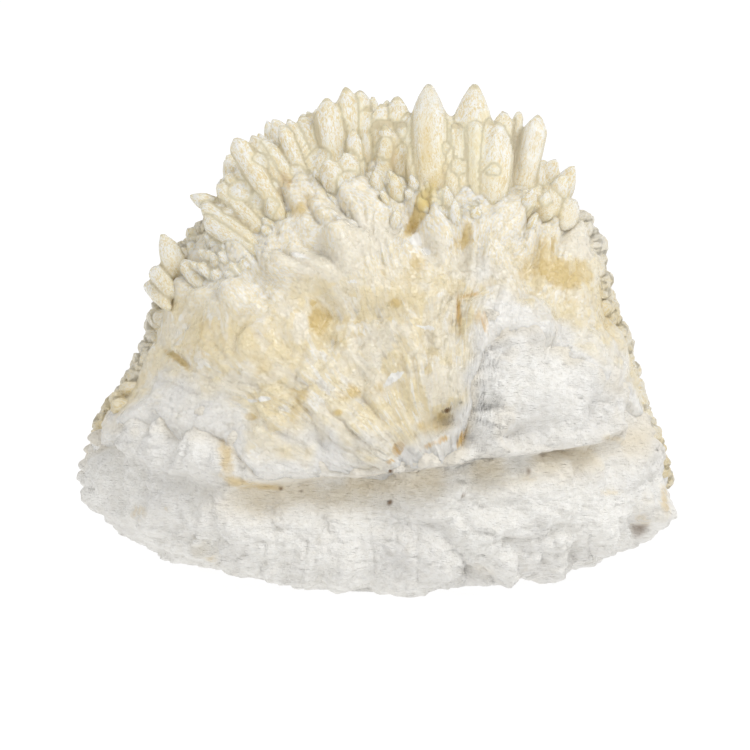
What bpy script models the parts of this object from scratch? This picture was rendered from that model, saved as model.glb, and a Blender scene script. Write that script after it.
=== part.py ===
"""A calcite specimen: honey calcite crystals that fan out over a chalky white matrix.

The stone stands on a small flat spot and its broken face looks along -Y. Shapes are worked out in
millimetres about the growth axis, and shape_mesh moves them to the row frame and scales them to metres.
"""

import math
from typing import NamedTuple

import bmesh
import bpy
import numpy as np
from mathutils import Vector

MM = 0.001

# Driving dimensions, in millimetres and degrees
GROWTH_CENTRE = np.array([8.0, 0.0, 22.0])  # the crystals fan out from here
BOX_CENTRE = np.array([0.4, -0.2, 0.0])  # middle of the finished stone's box, at its foot
SEAT_GAP = 0.4  # between the matrix and the calcite that grew on it
SEAT_MIDDLE = 20.0  # height of the hidden seat between them, on the axis
SEAT_RIM = 33.0  # radius at which the seat comes to the height of the visible border
FOOT_HEIGHT = 2.5  # below this the lumps fade, which keeps the resting spot flat

COLUMNS = 50
FRONT_CROWDING = 0.42  # columns stand closer together on the broken face
ROWS = np.r_[1.0, 1.5, 2.2, np.arange(3.0, 5.0, 0.7), np.arange(5.2, 8.1, 0.35), np.arange(8.5, 13.9, 0.7)]
SEAT_COLUMNS = 45
SEAT_RADII = np.r_[8.0, np.arange(16.0, 58.0, 6.0), 75.0]
SEAT_REACH = 80.0  # the cutting blocks reach this far above and below

# Outline of the stone in eight directions, each from the foot's centre up to the summit: radius, height
MERIDIANS = {
    0: [(0, 0), (27, 0), (36, 1.2), (44.5, 3.6), (48.2, 7.5), (49.5, 12.5), (48.4, 19), (46, 26),
        (43.4, 34), (40.8, 41), (38.5, 48.5), (37, 56), (32, 62), (19, 67.5), (0, 71)],
    45: [(0, 0), (25, 0), (32, 3), (38, 8), (40.5, 13), (41.5, 18), (41, 24), (40, 30),
         (38, 37), (35, 44), (31, 51), (26.5, 57.5), (20, 63.5), (11.5, 68.5), (0, 71)],
    90: [(0, 0), (22, 0), (29, 3), (33, 8), (35, 13), (35.5, 18), (35, 24), (33.5, 30),
         (31, 37), (28, 44), (24, 51), (19.5, 58), (14, 64), (8, 68.5), (0, 71)],
    135: [(0, 0), (23, 0), (30, 3), (36, 8), (39, 13), (40, 18), (39.5, 24), (37.5, 30),
          (34.5, 36.5), (31, 43), (27, 50), (22.5, 57), (16.5, 63.5), (9, 68.5), (0, 71)],
    180: [(0, 0), (21, 0), (30, 1.8), (40, 5.5), (47.5, 10), (50.2, 14.4), (49, 20), (46, 26),
          (41.5, 32.5), (38.2, 40), (35.8, 48), (31, 55), (22, 63), (11, 69), (0, 71)],
    225: [(0, 0), (24, 0), (31, 2), (37, 6), (41.5, 11), (43, 16), (42.8, 21), (42, 27),
          (40, 33), (37, 40), (34, 47.5), (29, 54.5), (22, 61.5), (12, 68), (0, 71)],
    270: [(0, 0), (27, 0), (31, 1.5), (33.5, 5), (34.2, 10), (33.5, 15), (33, 20), (35, 25),
          (34.5, 32), (32, 39.5), (28.5, 47), (24, 54), (18, 61.5), (11, 67.5), (0, 71)],
    315: [(0, 0), (27, 0), (35, 2), (41.5, 6), (45, 11), (46, 16), (46, 21.5), (45.5, 27),
          (44, 34), (41, 41), (37, 48.5), (32, 55), (24.5, 62), (13.5, 68), (0, 71)],
}

# Where white matrix gives way to honey calcite: direction in degrees, height
BORDER = [(0, 11), (20, 9), (45, 11), (90, 14), (135, 15), (165, 18), (182, 20), (196, 25), (212, 31),
          (226, 29), (240, 24), (255, 22), (270, 22), (284, 24), (291, 27), (299, 47), (309, 48),
          (322, 41), (336, 33), (350, 22)]

# The undercut that runs across the front: x, height of its lip
LEDGE = [(-26, 19.6), (-15, 20.2), (-1, 21.0), (14, 23.6), (25, 25.0), (37, 25.8), (43, 27.0)]
LEDGE_DEPTH = 4.6
LEDGE_LIP = 1.3


class Swell(NamedTuple):
    """A lump or, with a negative push, a hollow on the front, placed as it is seen from the front."""

    x: float
    z: float
    half_width: float
    half_height: float
    tilt: float
    push: float


SWELLS = (
    # White matrix
    Swell(-35.0, 24.5, 9.0, 5.0, -20, 2.6),  # left brow
    Swell(-33.0, 18.6, 10.0, 1.8, -14, -2.2),  # crease under it
    Swell(-28.0, 13.0, 12.0, 4.5, -8, 1.3),  # left cheek
    Swell(-6.0, 6.0, 17.0, 4.5, 0, 1.6),  # foot under the ledge
    Swell(22.5, 43.0, 8.0, 6.0, 8, 3.6),  # large white boss
    Swell(36.0, 38.0, 6.5, 5.0, -25, 2.4),  # lesser boss
    Swell(30.0, 40.5, 2.2, 6.0, -15, -2.4),  # valley between the two
    Swell(27.5, 33.0, 12.0, 4.5, 8, 2.0),  # swell over the shelf
    Swell(26.0, 28.0, 12.0, 1.8, 8, -1.8),  # shelf
    Swell(40.5, 17.5, 1.8, 6.5, -20, -2.0),  # upright groove by the right corner
    Swell(44.5, 8.5, 2.0, 2.0, 0, -2.0),  # pit in the right corner
    # Honey calcite
    Swell(-2.5, 56.5, 6.0, 3.8, 0, 2.8),  # milky lobe
    Swell(-5.0, 51.5, 11.0, 2.8, -6, 2.4),  # milky tongue
    Swell(-2.5, 47.5, 10.0, 1.6, 4, -1.6),  # step below the tongue
    Swell(-9.0, 43.5, 1.9, 3.8, 8, -2.6),  # amber pocket
    Swell(-25.0, 45.5, 12.0, 8.0, 20, 1.8),  # left cheek
    Swell(7.5, 60.0, 5.5, 1.4, -56, -2.6),  # amber groove
    Swell(15.0, 57.0, 2.2, 3.4, 20, -2.0),  # honey pocket
    Swell(27.0, 52.5, 2.6, 4.6, 30, -2.4),  # honey pocket on the right
    Swell(13.2, 45.5, 1.0, 4.0, 5, -2.4),  # crack beside the white boss
    Swell(12.0, 30.5, 2.6, 1.8, 10, -4.5),  # brown cavity over the ledge
    Swell(-6.0, 29.5, 14.0, 5.0, 0, 1.4),  # low honey swell
    Swell(6.0, 38.5, 7.0, 4.0, -10, 1.4),  # pale swell in the middle
)


class Crystal(NamedTuple):
    """A pointed crystal, by its tip. It points away from the growth centre, turned by lean in the XZ plane."""

    tip: tuple
    length: float
    width: float
    lean: float = 0.0


CROWN = (
    # Left slope, from the lowest up
    Crystal((-35.3, -4.0, 56.6), 13.0, 4.0, 42),
    Crystal((-30.7, -3.0, 62.5), 13.0, 2.8, -18),
    Crystal((-28.8, -8.0, 62.0), 16.0, 4.2, -8),
    Crystal((-26.3, -5.0, 64.7), 14.0, 3.0),
    Crystal((-24.6, 0.0, 66.0), 13.0, 2.8),
    Crystal((-22.9, -3.0, 68.3), 14.0, 3.0),
    Crystal((-23.5, -5.0, 72.5), 20.0, 3.8, 4),
    Crystal((-20.4, -3.0, 72.9), 20.0, 3.8, 2),
    Crystal((-17.9, -8.0, 72.8), 16.0, 3.2),
    Crystal((-14.6, -4.0, 75.6), 18.0, 3.8),
    Crystal((-12.3, 1.0, 75.8), 16.0, 3.6),
    Crystal((-9.5, -2.0, 77.3), 15.0, 3.0),
    # Summit
    Crystal((-8.2, -9.0, 80.1), 19.0, 4.2),
    Crystal((-4.5, -4.0, 81.2), 22.0, 5.0),
    Crystal((-2.2, -8.0, 80.8), 20.0, 4.2),
    Crystal((-0.2, 5.0, 78.4), 16.0, 3.2),
    Crystal((2.0, -2.0, 78.8), 17.0, 3.6),
    Crystal((3.9, -8.0, 80.3), 18.0, 4.6),
    Crystal((8.9, -6.0, 82.5), 26.0, 6.2),
    Crystal((15.7, -4.0, 82.2), 26.0, 7.0),
    Crystal((18.3, -1.0, 81.7), 22.0, 5.4),
    # Right slope
    Crystal((21.4, -8.0, 77.6), 19.0, 4.8),
    Crystal((24.3, 2.0, 76.2), 15.0, 3.0),
    Crystal((27.1, -3.0, 76.1), 20.0, 4.8),
    Crystal((26.0, -4.0, 65.7), 9.0, 4.6),
    Crystal((30.2, -4.0, 64.4), 9.0, 4.6),
    Crystal((33.8, -3.0, 62.7), 9.0, 4.8),
    Crystal((37.3, -4.0, 61.0), 9.0, 4.6),
    # Columns standing in front of the summit
    Crystal((18.9, -12.0, 76.2), 17.0, 5.0),
    Crystal((8.4, -12.5, 77.0), 18.0, 4.2),
    Crystal((-3.9, -12.0, 75.8), 16.0, 4.4),
    Crystal((-8.9, -13.0, 74.6), 15.0, 3.8),
    Crystal((-13.4, -13.0, 72.0), 15.0, 3.8),
    Crystal((-17.9, -13.0, 69.2), 14.0, 3.8),
    Crystal((-21.8, -12.0, 66.2), 14.0, 3.8),
)
CRYSTAL_SIDES = 6
CRYSTAL_CORNER = 0.1  # every other corner stands this share closer to the axis
# Width at the root as a share of the full width, then the rings of the point: widths below the tip, share of
# the full width, and zigzag of the corners in widths
ARCHED = (0.72, ((1.15, 1.0, 0.1), (0.5, 0.64, 0.0)))
BLUNT = (0.95, ((0.46, 1.0, 0.1),))

DRUSE_COUNT = 76
DRUSE_TRIES = 60
DRUSE_SEED = 11
DRUSE_LEVELS = (5.6, 13.9)
DRUSE_CLEARANCE = 2.0  # above the border
FACE_DIRECTIONS = (191, 348)  # the broken face, which has no druse below the crown
FACE_LEVEL = 12.3
DRUSE_WIDTH = (7.0, 10.5)
DRUSE_OUT = (0.2, 0.32)  # in widths, how far a crystal stands out of the surface
DRUSE_ROOT = 5.0  # how far it goes into the mass
DRUSE_JITTER = 0.12
CROWN_HEIGHT = (55.0, 66.0)  # over this range the druse turns narrow and long, and then arched
CROWN_STRETCH = 5.0
CROWN_NARROWING = 0.5

CHALK = ("chalk", (0.84, 0.83, 0.80), 0.9)
HONEY = ("honey_calcite", (0.86, 0.78, 0.60), 0.3)


def ease(value):
    """Smooth step from 0 at 0 to 1 at 1."""
    t = np.clip(value, 0.0, 1.0)
    return t * t * (3.0 - 2.0 * t)


def noise(points, size, seed):
    """Smooth noise from -1 to 1: random values on a lattice of that size, blended between its corners."""
    scaled = points / size + seed * 7.31
    cell = np.floor(scaled).astype(np.int64)
    part = scaled - cell
    part = part * part * part * (part * (part * 6.0 - 15.0) + 10.0)
    total = np.zeros(len(points))
    for corner in range(8):
        step = np.array([corner & 1, corner >> 1 & 1, corner >> 2 & 1])
        x, y, z = (cell + step).T
        mixed = (x * 374761393 + y * 668265263 + z * 1442695041 + seed * 1274126177) & 0xFFFFFFFF
        mixed = ((mixed ^ (mixed >> 13)) * 1274126177) & 0xFFFFFFFF
        value = ((mixed ^ (mixed >> 16)) & 0xFFFF) / 32767.5 - 1.0
        total += value * np.where(step == 1, part, 1.0 - part).prod(axis=1)
    return total


def blend_four(before, start, end, after, t):
    """Catmull-Rom curve from start to end."""
    return 0.5 * (
        2.0 * start
        + (end - before) * t
        + (2.0 * before - 5.0 * start + 4.0 * end - after) * t**2
        + (3.0 * (start - end) + after - before) * t**3
    )


def outline(direction, level):
    """Radius and height of the stone's main form: a smooth curve along each meridian and another round them."""
    table = np.array([MERIDIANS[key] for key in sorted(MERIDIANS)], float)
    turn = (np.degrees(direction) % 360.0) / (360.0 / len(table))
    column = np.floor(turn).astype(int)
    row = np.clip(np.floor(level).astype(int), 0, table.shape[1] - 2)
    rows = [np.clip(row + step, 0, table.shape[1] - 1) for step in (-1, 0, 1, 2)]
    along = (level - row)[:, None]
    curves = [
        blend_four(*(table[(column + step) % len(table), r] for r in rows), along)
        for step in (-1, 0, 1, 2)
    ]
    radius, height = blend_four(*curves, (turn - column)[:, None]).T
    return np.maximum(radius, 0.0), np.maximum(height, 0.0)


def border_height(direction):
    """Height of the border between the white matrix and the honey calcite."""
    degrees, heights = np.array(BORDER, float).T
    return np.interp(np.degrees(direction) % 360.0, degrees, heights, period=360.0)


def front_share(points):
    """1 on the front of the stone and 0 on its back."""
    return ease(-points[:, 1] / 9.0 - 0.2)


def swollen(points, swells):
    """Pushes the points away from the growth centre where a swell lies, or towards it at a hollow."""
    away = points - GROWTH_CENTRE
    away /= np.linalg.norm(away, axis=1)[:, None] + 1e-9
    push = np.zeros(len(points))
    for swell in swells:
        tilt = math.radians(swell.tilt)
        right, up = points[:, 0] - swell.x, points[:, 2] - swell.z
        along = (right * math.cos(tilt) + up * math.sin(tilt)) / swell.half_width
        across = (up * math.cos(tilt) - right * math.sin(tilt)) / swell.half_height
        push += swell.push * np.exp(-(along**2) - across**2)
    return points + away * (push * front_share(points))[:, None]


def undercut(points):
    """Cuts the hollow under the ledge into the front and rolls its lip out."""
    xs, heights = np.array(LEDGE, float).T
    below = np.interp(points[:, 0], xs, heights) - points[:, 2]
    span = ease((points[:, 0] - xs[0]) / 5.0) * ease((xs[-1] - points[:, 0]) / 4.0)
    hollow = -LEDGE_DEPTH * ease(below / 1.6) * np.exp(-((below / 8.5) ** 2))
    lip = LEDGE_LIP * np.exp(-(((below + 1.2) / 2.6) ** 2))
    push = (hollow + lip) * span * front_share(points)
    radius = np.linalg.norm(points[:, :2], axis=1)[:, None] + 1e-9
    points = points.copy()
    points[:, :2] += points[:, :2] / radius * push[:, None]
    return points


def stone_surface(direction, level):
    """The stone's outer form with its undercut and large lumps, before it is parted in two."""
    radius, height = outline(direction, level)
    points = np.column_stack([radius * np.cos(direction), radius * np.sin(direction), height])
    points = undercut(points)
    lumps = 0.9 * noise(points, 15.0, 3) + 0.45 * noise(points, 6.5, 5)
    away = points - GROWTH_CENTRE
    away /= np.linalg.norm(away, axis=1)[:, None] + 1e-9
    points += away * (lumps * ease(height / FOOT_HEIGHT - 0.4))[:, None]
    return swollen(points, SWELLS)


def columns():
    """Directions of the columns, crowded towards the front."""
    share = np.arange(COLUMNS) / COLUMNS
    return 2.0 * math.pi * share - FRONT_CROWDING * np.sin(2.0 * math.pi * (share - 0.75))


def shape_mesh(name, points, faces, grow=0.0):
    """A mesh of triangles from points in millimetres, in the row frame and in metres, facing out."""
    mesh = bpy.data.meshes.new(name)
    mesh.from_pydata([Vector(p) for p in (points - BOX_CENTRE) * MM], [], faces)
    shape = bmesh.new()
    shape.from_mesh(mesh)
    bmesh.ops.triangulate(shape, faces=shape.faces)
    bmesh.ops.recalc_face_normals(shape, faces=shape.faces)
    if grow:
        shape.normal_update()
        for vertex in shape.verts:
            vertex.co += vertex.normal * grow * MM
    shape.to_mesh(mesh)
    shape.free()
    return mesh


def ring_faces(rings, sides, start=0):
    """Faces of a closed stack of rings: quads between them, and a fan to a point past each end."""
    last = start + rings * sides
    faces = []
    for ring in range(rings - 1):
        for side in range(sides):
            a, b = start + ring * sides + side, start + ring * sides + (side + 1) % sides
            faces.append((a, b, b + sides, a + sides))
    for side in range(sides):
        faces.append((last, start + (side + 1) % sides, start + side))
        faces.append((last + 1, last - sides + side, last - sides + (side + 1) % sides))
    return faces


def stone_form():
    """Points and faces of the whole stone without its crystals, on a flat foot."""
    direction, level = np.meshgrid(columns(), ROWS)
    points = stone_surface(direction.ravel(), level.ravel())
    points[:COLUMNS, 2] = 0.0
    ends = np.array([[0.0, 0.0, 0.0], [0.0, 0.0, MERIDIANS[0][-1][1]]])
    return np.vstack([points, ends]), ring_faces(len(ROWS), COLUMNS)


def seat_block(name, upward):
    """All that lies above the seat, or below it, grown over the seat by half the gap."""
    turn = 2.0 * math.pi * np.arange(SEAT_COLUMNS) / SEAT_COLUMNS
    direction, radius = (grid.ravel() for grid in np.meshgrid(turn, SEAT_RADII))
    rise = (border_height(direction) - SEAT_MIDDLE) * ease(radius / SEAT_RIM)
    far = SEAT_MIDDLE + (SEAT_REACH if upward else -SEAT_REACH)
    seat = np.column_stack([radius * np.cos(direction), radius * np.sin(direction), SEAT_MIDDLE + rise])
    rim = seat[-SEAT_COLUMNS:].copy()
    rim[:, 2] = far
    ends = np.array([[0.0, 0.0, SEAT_MIDDLE], [0.0, 0.0, far]])
    faces = ring_faces(len(SEAT_RADII) + 1, SEAT_COLUMNS)
    return shape_mesh(name, np.vstack([seat, rim, ends]), faces, SEAT_GAP / 2.0)


def crystal_form(root, tip, width, roll, kind, start):
    """Points and faces of one crystal: six sides that widen up to its shoulder, then its point."""
    root_share, point = kind
    axis = (tip - root) / np.linalg.norm(tip - root)
    side = np.cross(axis, [0.0, 1.0, 0.0])
    side /= np.linalg.norm(side)
    other = np.cross(axis, side)
    angles = roll + 2.0 * math.pi * np.arange(CRYSTAL_SIDES) / CRYSTAL_SIDES
    swing = np.where(np.arange(CRYSTAL_SIDES) % 2 == 1, 1.0, -1.0)
    reach = 0.5 * width * (1.0 - 0.5 * CRYSTAL_CORNER * (1.0 + swing))
    corners = np.outer(np.cos(angles) * reach, side) + np.outer(np.sin(angles) * reach, other)
    rings = [root + corners * root_share]
    for below, share, zigzag in point:
        height = width * (below + zigzag * swing)
        rings.append(tip - np.outer(height, axis) + corners * share)
    return np.vstack([*rings, root, tip]), ring_faces(len(rings), CRYSTAL_SIDES, start)


def crown_crystals():
    """Root, tip, width, roll and kind of each crystal of the crown."""
    found = []
    for index, crystal in enumerate(CROWN):
        tip = np.array(crystal.tip)
        away = (tip - GROWTH_CENTRE) / np.linalg.norm(tip - GROWTH_CENTRE)
        turn = math.radians(crystal.lean)
        axis = np.array([
            away[0] * math.cos(turn) + away[2] * math.sin(turn),
            away[1],
            away[2] * math.cos(turn) - away[0] * math.sin(turn),
        ])
        found.append((tip - axis * crystal.length, tip, crystal.width, index * 2.4, ARCHED))
    return found


def druse_crystals():
    """Crystals strewn evenly over the back, the flanks and the summit, each the farthest of several tries."""
    random = np.random.default_rng(DRUSE_SEED)
    placed = np.array([crystal.tip for crystal in CROWN])
    found = []
    for _ in range(DRUSE_COUNT):
        direction = random.uniform(0.0, 2.0 * math.pi, DRUSE_TRIES)
        level = random.uniform(*DRUSE_LEVELS, DRUSE_TRIES)
        points = stone_surface(direction, level)
        degrees = np.degrees(direction)
        on_face = (degrees > FACE_DIRECTIONS[0]) & (degrees < FACE_DIRECTIONS[1]) & (level < FACE_LEVEL)
        too_low = points[:, 2] < border_height(direction) + DRUSE_CLEARANCE
        distance = np.linalg.norm(points[:, None] - placed[None], axis=2).min(axis=1)
        distance[on_face | too_low] = -1.0
        point = points[distance.argmax()]
        placed = np.vstack([placed, point])
        axis = point - GROWTH_CENTRE
        axis /= np.linalg.norm(axis)
        axis += random.normal(0.0, DRUSE_JITTER, 3)
        axis /= np.linalg.norm(axis)
        crown = ease((point[2] - CROWN_HEIGHT[0]) / (CROWN_HEIGHT[1] - CROWN_HEIGHT[0]))
        width = random.uniform(*DRUSE_WIDTH) * (1.0 - CROWN_NARROWING * crown)
        out = width * random.uniform(*DRUSE_OUT) * (1.0 + CROWN_STRETCH * crown)
        roll = random.uniform(0.0, math.pi)
        kind = ARCHED if crown > 0.5 else BLUNT
        found.append((point - axis * DRUSE_ROOT, point + axis * out, width, roll, kind))
    return found


def crystals_mesh(name):
    """All crystals in one mesh."""
    points, faces, count = [], [], 0
    for crystal in crown_crystals() + druse_crystals():
        made, sides = crystal_form(*crystal, count)
        points.append(made)
        faces += sides
        count += len(made)
    return shape_mesh(name, np.vstack(points), faces)


def material(name, colour, roughness):
    """A plain material of that colour."""
    made = bpy.data.materials.new(name)
    made.use_nodes = True
    shader = made.node_tree.nodes["Principled BSDF"]
    shader.inputs["Base Color"].default_value = (*colour, 1.0)
    shader.inputs["Roughness"].default_value = roughness
    shader.inputs["Metallic"].default_value = 0.0
    return made


def add_object(name, mesh, helper=False):
    """Links an object. A helper only cuts or joins."""
    made = bpy.data.objects.new(name, mesh)
    bpy.context.scene.collection.objects.link(made)
    if helper:
        made.hide_render = True
        made.display_type = "WIRE"
    return made


def combine(target, other, operation, crossing=False):
    """Adds a Boolean. crossing is for an operand whose pieces run through each other."""
    change = target.modifiers.new(operation.lower(), "BOOLEAN")
    change.operation = operation
    change.solver = "EXACT"
    change.object = other
    change.use_self = crossing


def main():
    for old in list(bpy.data.objects):
        bpy.data.objects.remove(old)
    points, faces = stone_form()
    crystals = add_object("crystal_shapes", crystals_mesh("crystal_shapes"), helper=True)
    above = add_object("above_seat", seat_block("above_seat", upward=True), helper=True)
    below = add_object("below_seat", seat_block("below_seat", upward=False), helper=True)

    matrix = add_object("white_matrix", shape_mesh("white_matrix", points, faces))
    matrix.data.shade_smooth()
    matrix.data.materials.append(material(*CHALK))
    combine(matrix, above, "DIFFERENCE")

    calcite = add_object("calcite_crystals", shape_mesh("calcite_crystals", points, faces))
    calcite.data.materials.append(material(*HONEY))
    combine(calcite, crystals, "UNION", crossing=True)
    combine(calcite, below, "DIFFERENCE")


main()
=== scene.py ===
"""A calcite specimen: honey calcite crystals that fan out over a chalky white matrix.

Shapes are worked out in millimetres about the growth axis, and move to the row frame, in metres, as they
become meshes. The broken face looks along -Y.
"""

import logging
import math
from collections.abc import Callable, Sequence
from dataclasses import dataclass, fields
from enum import Enum
from typing import ClassVar

import bpy
import numpy as np
from numpy.typing import NDArray
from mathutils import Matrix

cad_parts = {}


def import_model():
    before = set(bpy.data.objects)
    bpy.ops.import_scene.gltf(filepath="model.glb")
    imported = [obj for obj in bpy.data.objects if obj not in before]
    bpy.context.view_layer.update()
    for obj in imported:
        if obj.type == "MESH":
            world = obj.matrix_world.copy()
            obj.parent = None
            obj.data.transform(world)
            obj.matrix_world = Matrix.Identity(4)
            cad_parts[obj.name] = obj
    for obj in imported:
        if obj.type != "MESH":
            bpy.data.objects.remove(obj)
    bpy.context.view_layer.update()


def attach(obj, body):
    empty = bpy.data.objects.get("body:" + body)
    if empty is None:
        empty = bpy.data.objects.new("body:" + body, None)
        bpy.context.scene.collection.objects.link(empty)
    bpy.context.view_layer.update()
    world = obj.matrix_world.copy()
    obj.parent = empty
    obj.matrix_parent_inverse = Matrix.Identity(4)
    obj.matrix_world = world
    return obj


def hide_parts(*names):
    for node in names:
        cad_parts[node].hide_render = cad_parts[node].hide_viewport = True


Array = NDArray[np.float64]
Faces = NDArray[np.int64]
Colour = tuple[float, float, float]

MM = 0.001
# Where the crystals fan out from, the middle of the fan that the grain follows, and the row frame's origin
GROWTH_CENTRE = np.array([8.0, 0.0, 22.0])
FAN_CENTRE = np.array([14.0, -8.0, 14.0])
BOX_CENTRE = np.array([0.4, -0.2, 0.0])
# The camera's elevation, the millimetres in a picture step, and the step and the height that go together
SIGHT_ELEVATION = math.radians(9.0)
SIGHT_STEP = 0.1675
SIGHT_MIDDLE = (375.0, 592.0)
SIGHT_FOOT = -4.7
# Multipliers of the hash, and the meridians' last place, a hair below the summit
HASH = (374761393, 668265263, 1442695041, 1274126177)
TOP_LEVEL = 13.97


def ease(value: Array) -> Array:
    """Smooth step: 3 t squared less 2 t cubed, with t held between 0 and 1."""
    t = np.clip(value, 0.0, 1.0)
    return t * t * (3.0 - 2.0 * t)


def unit(vectors: Array) -> Array:
    """Each vector divided by its length."""
    return vectors / (np.linalg.norm(vectors, axis=-1, keepdims=True) + 1e-9)


def hashed(whole: Array) -> Array:
    """Random values from -1 to 1 for whole numbers, by shifts, exclusive ors and a multiplication.

    Args:
        whole: Whole numbers.

    Returns:
        A value for each.
    """
    mixed = whole & 0xFFFFFFFF
    mixed = ((mixed ^ (mixed >> 13)) * HASH[3]) & 0xFFFFFFFF
    return ((mixed ^ (mixed >> 16)) & 0xFFFF) / 32767.5 - 1.0


def noise(points: Array, size: float, seed: int) -> Array:
    """Smooth noise: random values on a lattice, blended between its corners by a quintic of the distance.

    Args:
        points: Places, one row each.
        size: Lattice step, in the same unit.
        seed: Which noise.

    Returns:
        Values from -1 to 1.
    """
    scaled = points / size + seed * 7.31
    cell = np.floor(scaled).astype(np.int64)
    part = scaled - cell
    part = part * part * part * (part * (part * 6.0 - 15.0) + 10.0)
    total = np.zeros(len(points))
    for corner in range(8):
        step = np.array([corner & 1, corner >> 1 & 1, corner >> 2 & 1])
        x, y, z = (cell + step).T
        value = hashed(x * HASH[0] + y * HASH[1] + z * HASH[2] + seed * HASH[3])
        total += value * np.where(step == 1, part, 1.0 - part).prod(axis=1)
    return total


def billows(points: Array, size: float, octaves: int, seed: int) -> Array:
    """Cauliflower lumps: the sum over octaves of the noise's absolute value, each half as large and as high.

    Args:
        points: Places, one row each.
        size: Width of the largest lumps.
        octaves: How many sizes.
        seed: Which noise.

    Returns:
        Heights, about -0.35 in the creases and up to 1 on the lumps.
    """
    total = np.zeros(len(points))
    for octave in range(octaves):
        share = 0.5**octave
        total += share * (np.abs(noise(points, size * share, seed + octave)) - 0.33)
    return total


def cell_random(across: Array, along: Array, seed: int) -> Array:
    """A random value from -1 to 1 for each cell of a plane lattice, from a hash of its whole numbers."""
    return hashed(across.astype(np.int64) * HASH[0] + along.astype(np.int64) * HASH[1] + seed * HASH[2])


def broken_plates(across: Array, along: Array, width: float, length: float, seed: int) -> Array:
    """Cleavage steps: every lattice cell carries a tilted plate with steep sides, and the highest shows.

    Args:
        across: Distance across the grain.
        along: Distance along the grain.
        width: Width of a plate.
        length: Length of a plate.
        seed: Which pattern.

    Returns:
        Heights, about -1 to 1.
    """
    column, row = np.floor(across / width), np.floor(along / length)
    best = np.full(len(across), -9.0)
    for step_across in (-1, 0, 1):
        for step_along in (-1, 0, 1):
            i, j = column + step_across, row + step_along
            u = across / width - i - 0.5 - 0.35 * cell_random(i, j, seed)
            v = along / length - j - 0.5 - 0.35 * cell_random(i, j, seed + 1)
            plate = 0.5 * cell_random(i, j, seed + 2)
            plate = plate + 0.9 * cell_random(i, j, seed + 3) * u + 0.7 * cell_random(i, j, seed + 4) * v
            plate = plate - 4.0 * np.maximum(np.abs(u) - 0.42, 0.0) - 4.0 * np.maximum(np.abs(v) - 0.42, 0.0)
            best = np.maximum(best, plate)
    return best


def blend_four(before: Array, start: Array, end: Array, after: Array, t: Array) -> Array:
    """Smooth curve from start to end at t: a cubic whose slopes are half the way between the neighbours.

    Args:
        before: The point before the start.
        start: Where t is 0.
        end: Where t is 1.
        after: The point after the end.
        t: How far along, from 0 to 1.

    Returns:
        Points on the curve.
    """
    return 0.5 * (
        2.0 * start
        + (end - before) * t
        + (2.0 * before - 5.0 * start + 4.0 * end - after) * t**2
        + (3.0 * (start - end) + after - before) * t**3
    )


def sight(points: Array) -> Array:
    """Places in picture steps: x across, and down from height and depth turned by the camera's elevation.

    Args:
        points: Places in millimetres.

    Returns:
        Steps across and down.
    """
    height = points[:, 2] * math.cos(SIGHT_ELEVATION) + points[:, 1] * math.sin(SIGHT_ELEVATION)
    across = SIGHT_MIDDLE[0] + points[:, 0] / SIGHT_STEP
    return np.column_stack([across, SIGHT_MIDDLE[1] - (height - SIGHT_FOOT) / SIGHT_STEP])


@dataclass(frozen=True)
class Swell:
    """A lump or, with a negative push, a hollow on the front, in millimetres as it is seen from the front."""

    x: float
    z: float
    half_width: float
    half_height: float
    tilt: float
    push: float


class Tint(Enum):
    """What a patch of colour on the front is."""

    AMBER = "amber"
    MILK = "milk"
    OCHRE = "ochre"
    # Painted highlight: small white glints painted on the fracture
    PAINTED_GLINT = "painted_glint"
    UMBER = "umber"


@dataclass(frozen=True)
class Patch:
    """A patch of colour on the front: an ellipse in picture steps, its long side turned by tilt degrees."""

    tint: Tint
    across: float
    down: float
    half_width: float
    half_height: float
    tilt: float = 0.0
    strength: float = 1.0
    push: float = 0.0


def squared_reach(right: Array, up: Array, shape: Swell | Patch) -> Array:
    """Squared distance from an ellipse's middle in its half widths, its long side turned by its tilt.

    Args:
        right: Places to the right of the middle.
        up: Places above it.
        shape: Has the half widths and the tilt in degrees.

    Returns:
        The sum of the squares along and across.
    """
    tilt = math.radians(shape.tilt)
    along = (right * math.cos(tilt) + up * math.sin(tilt)) / shape.half_width
    across = (up * math.cos(tilt) - right * math.sin(tilt)) / shape.half_height
    return along**2 + across**2


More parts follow.
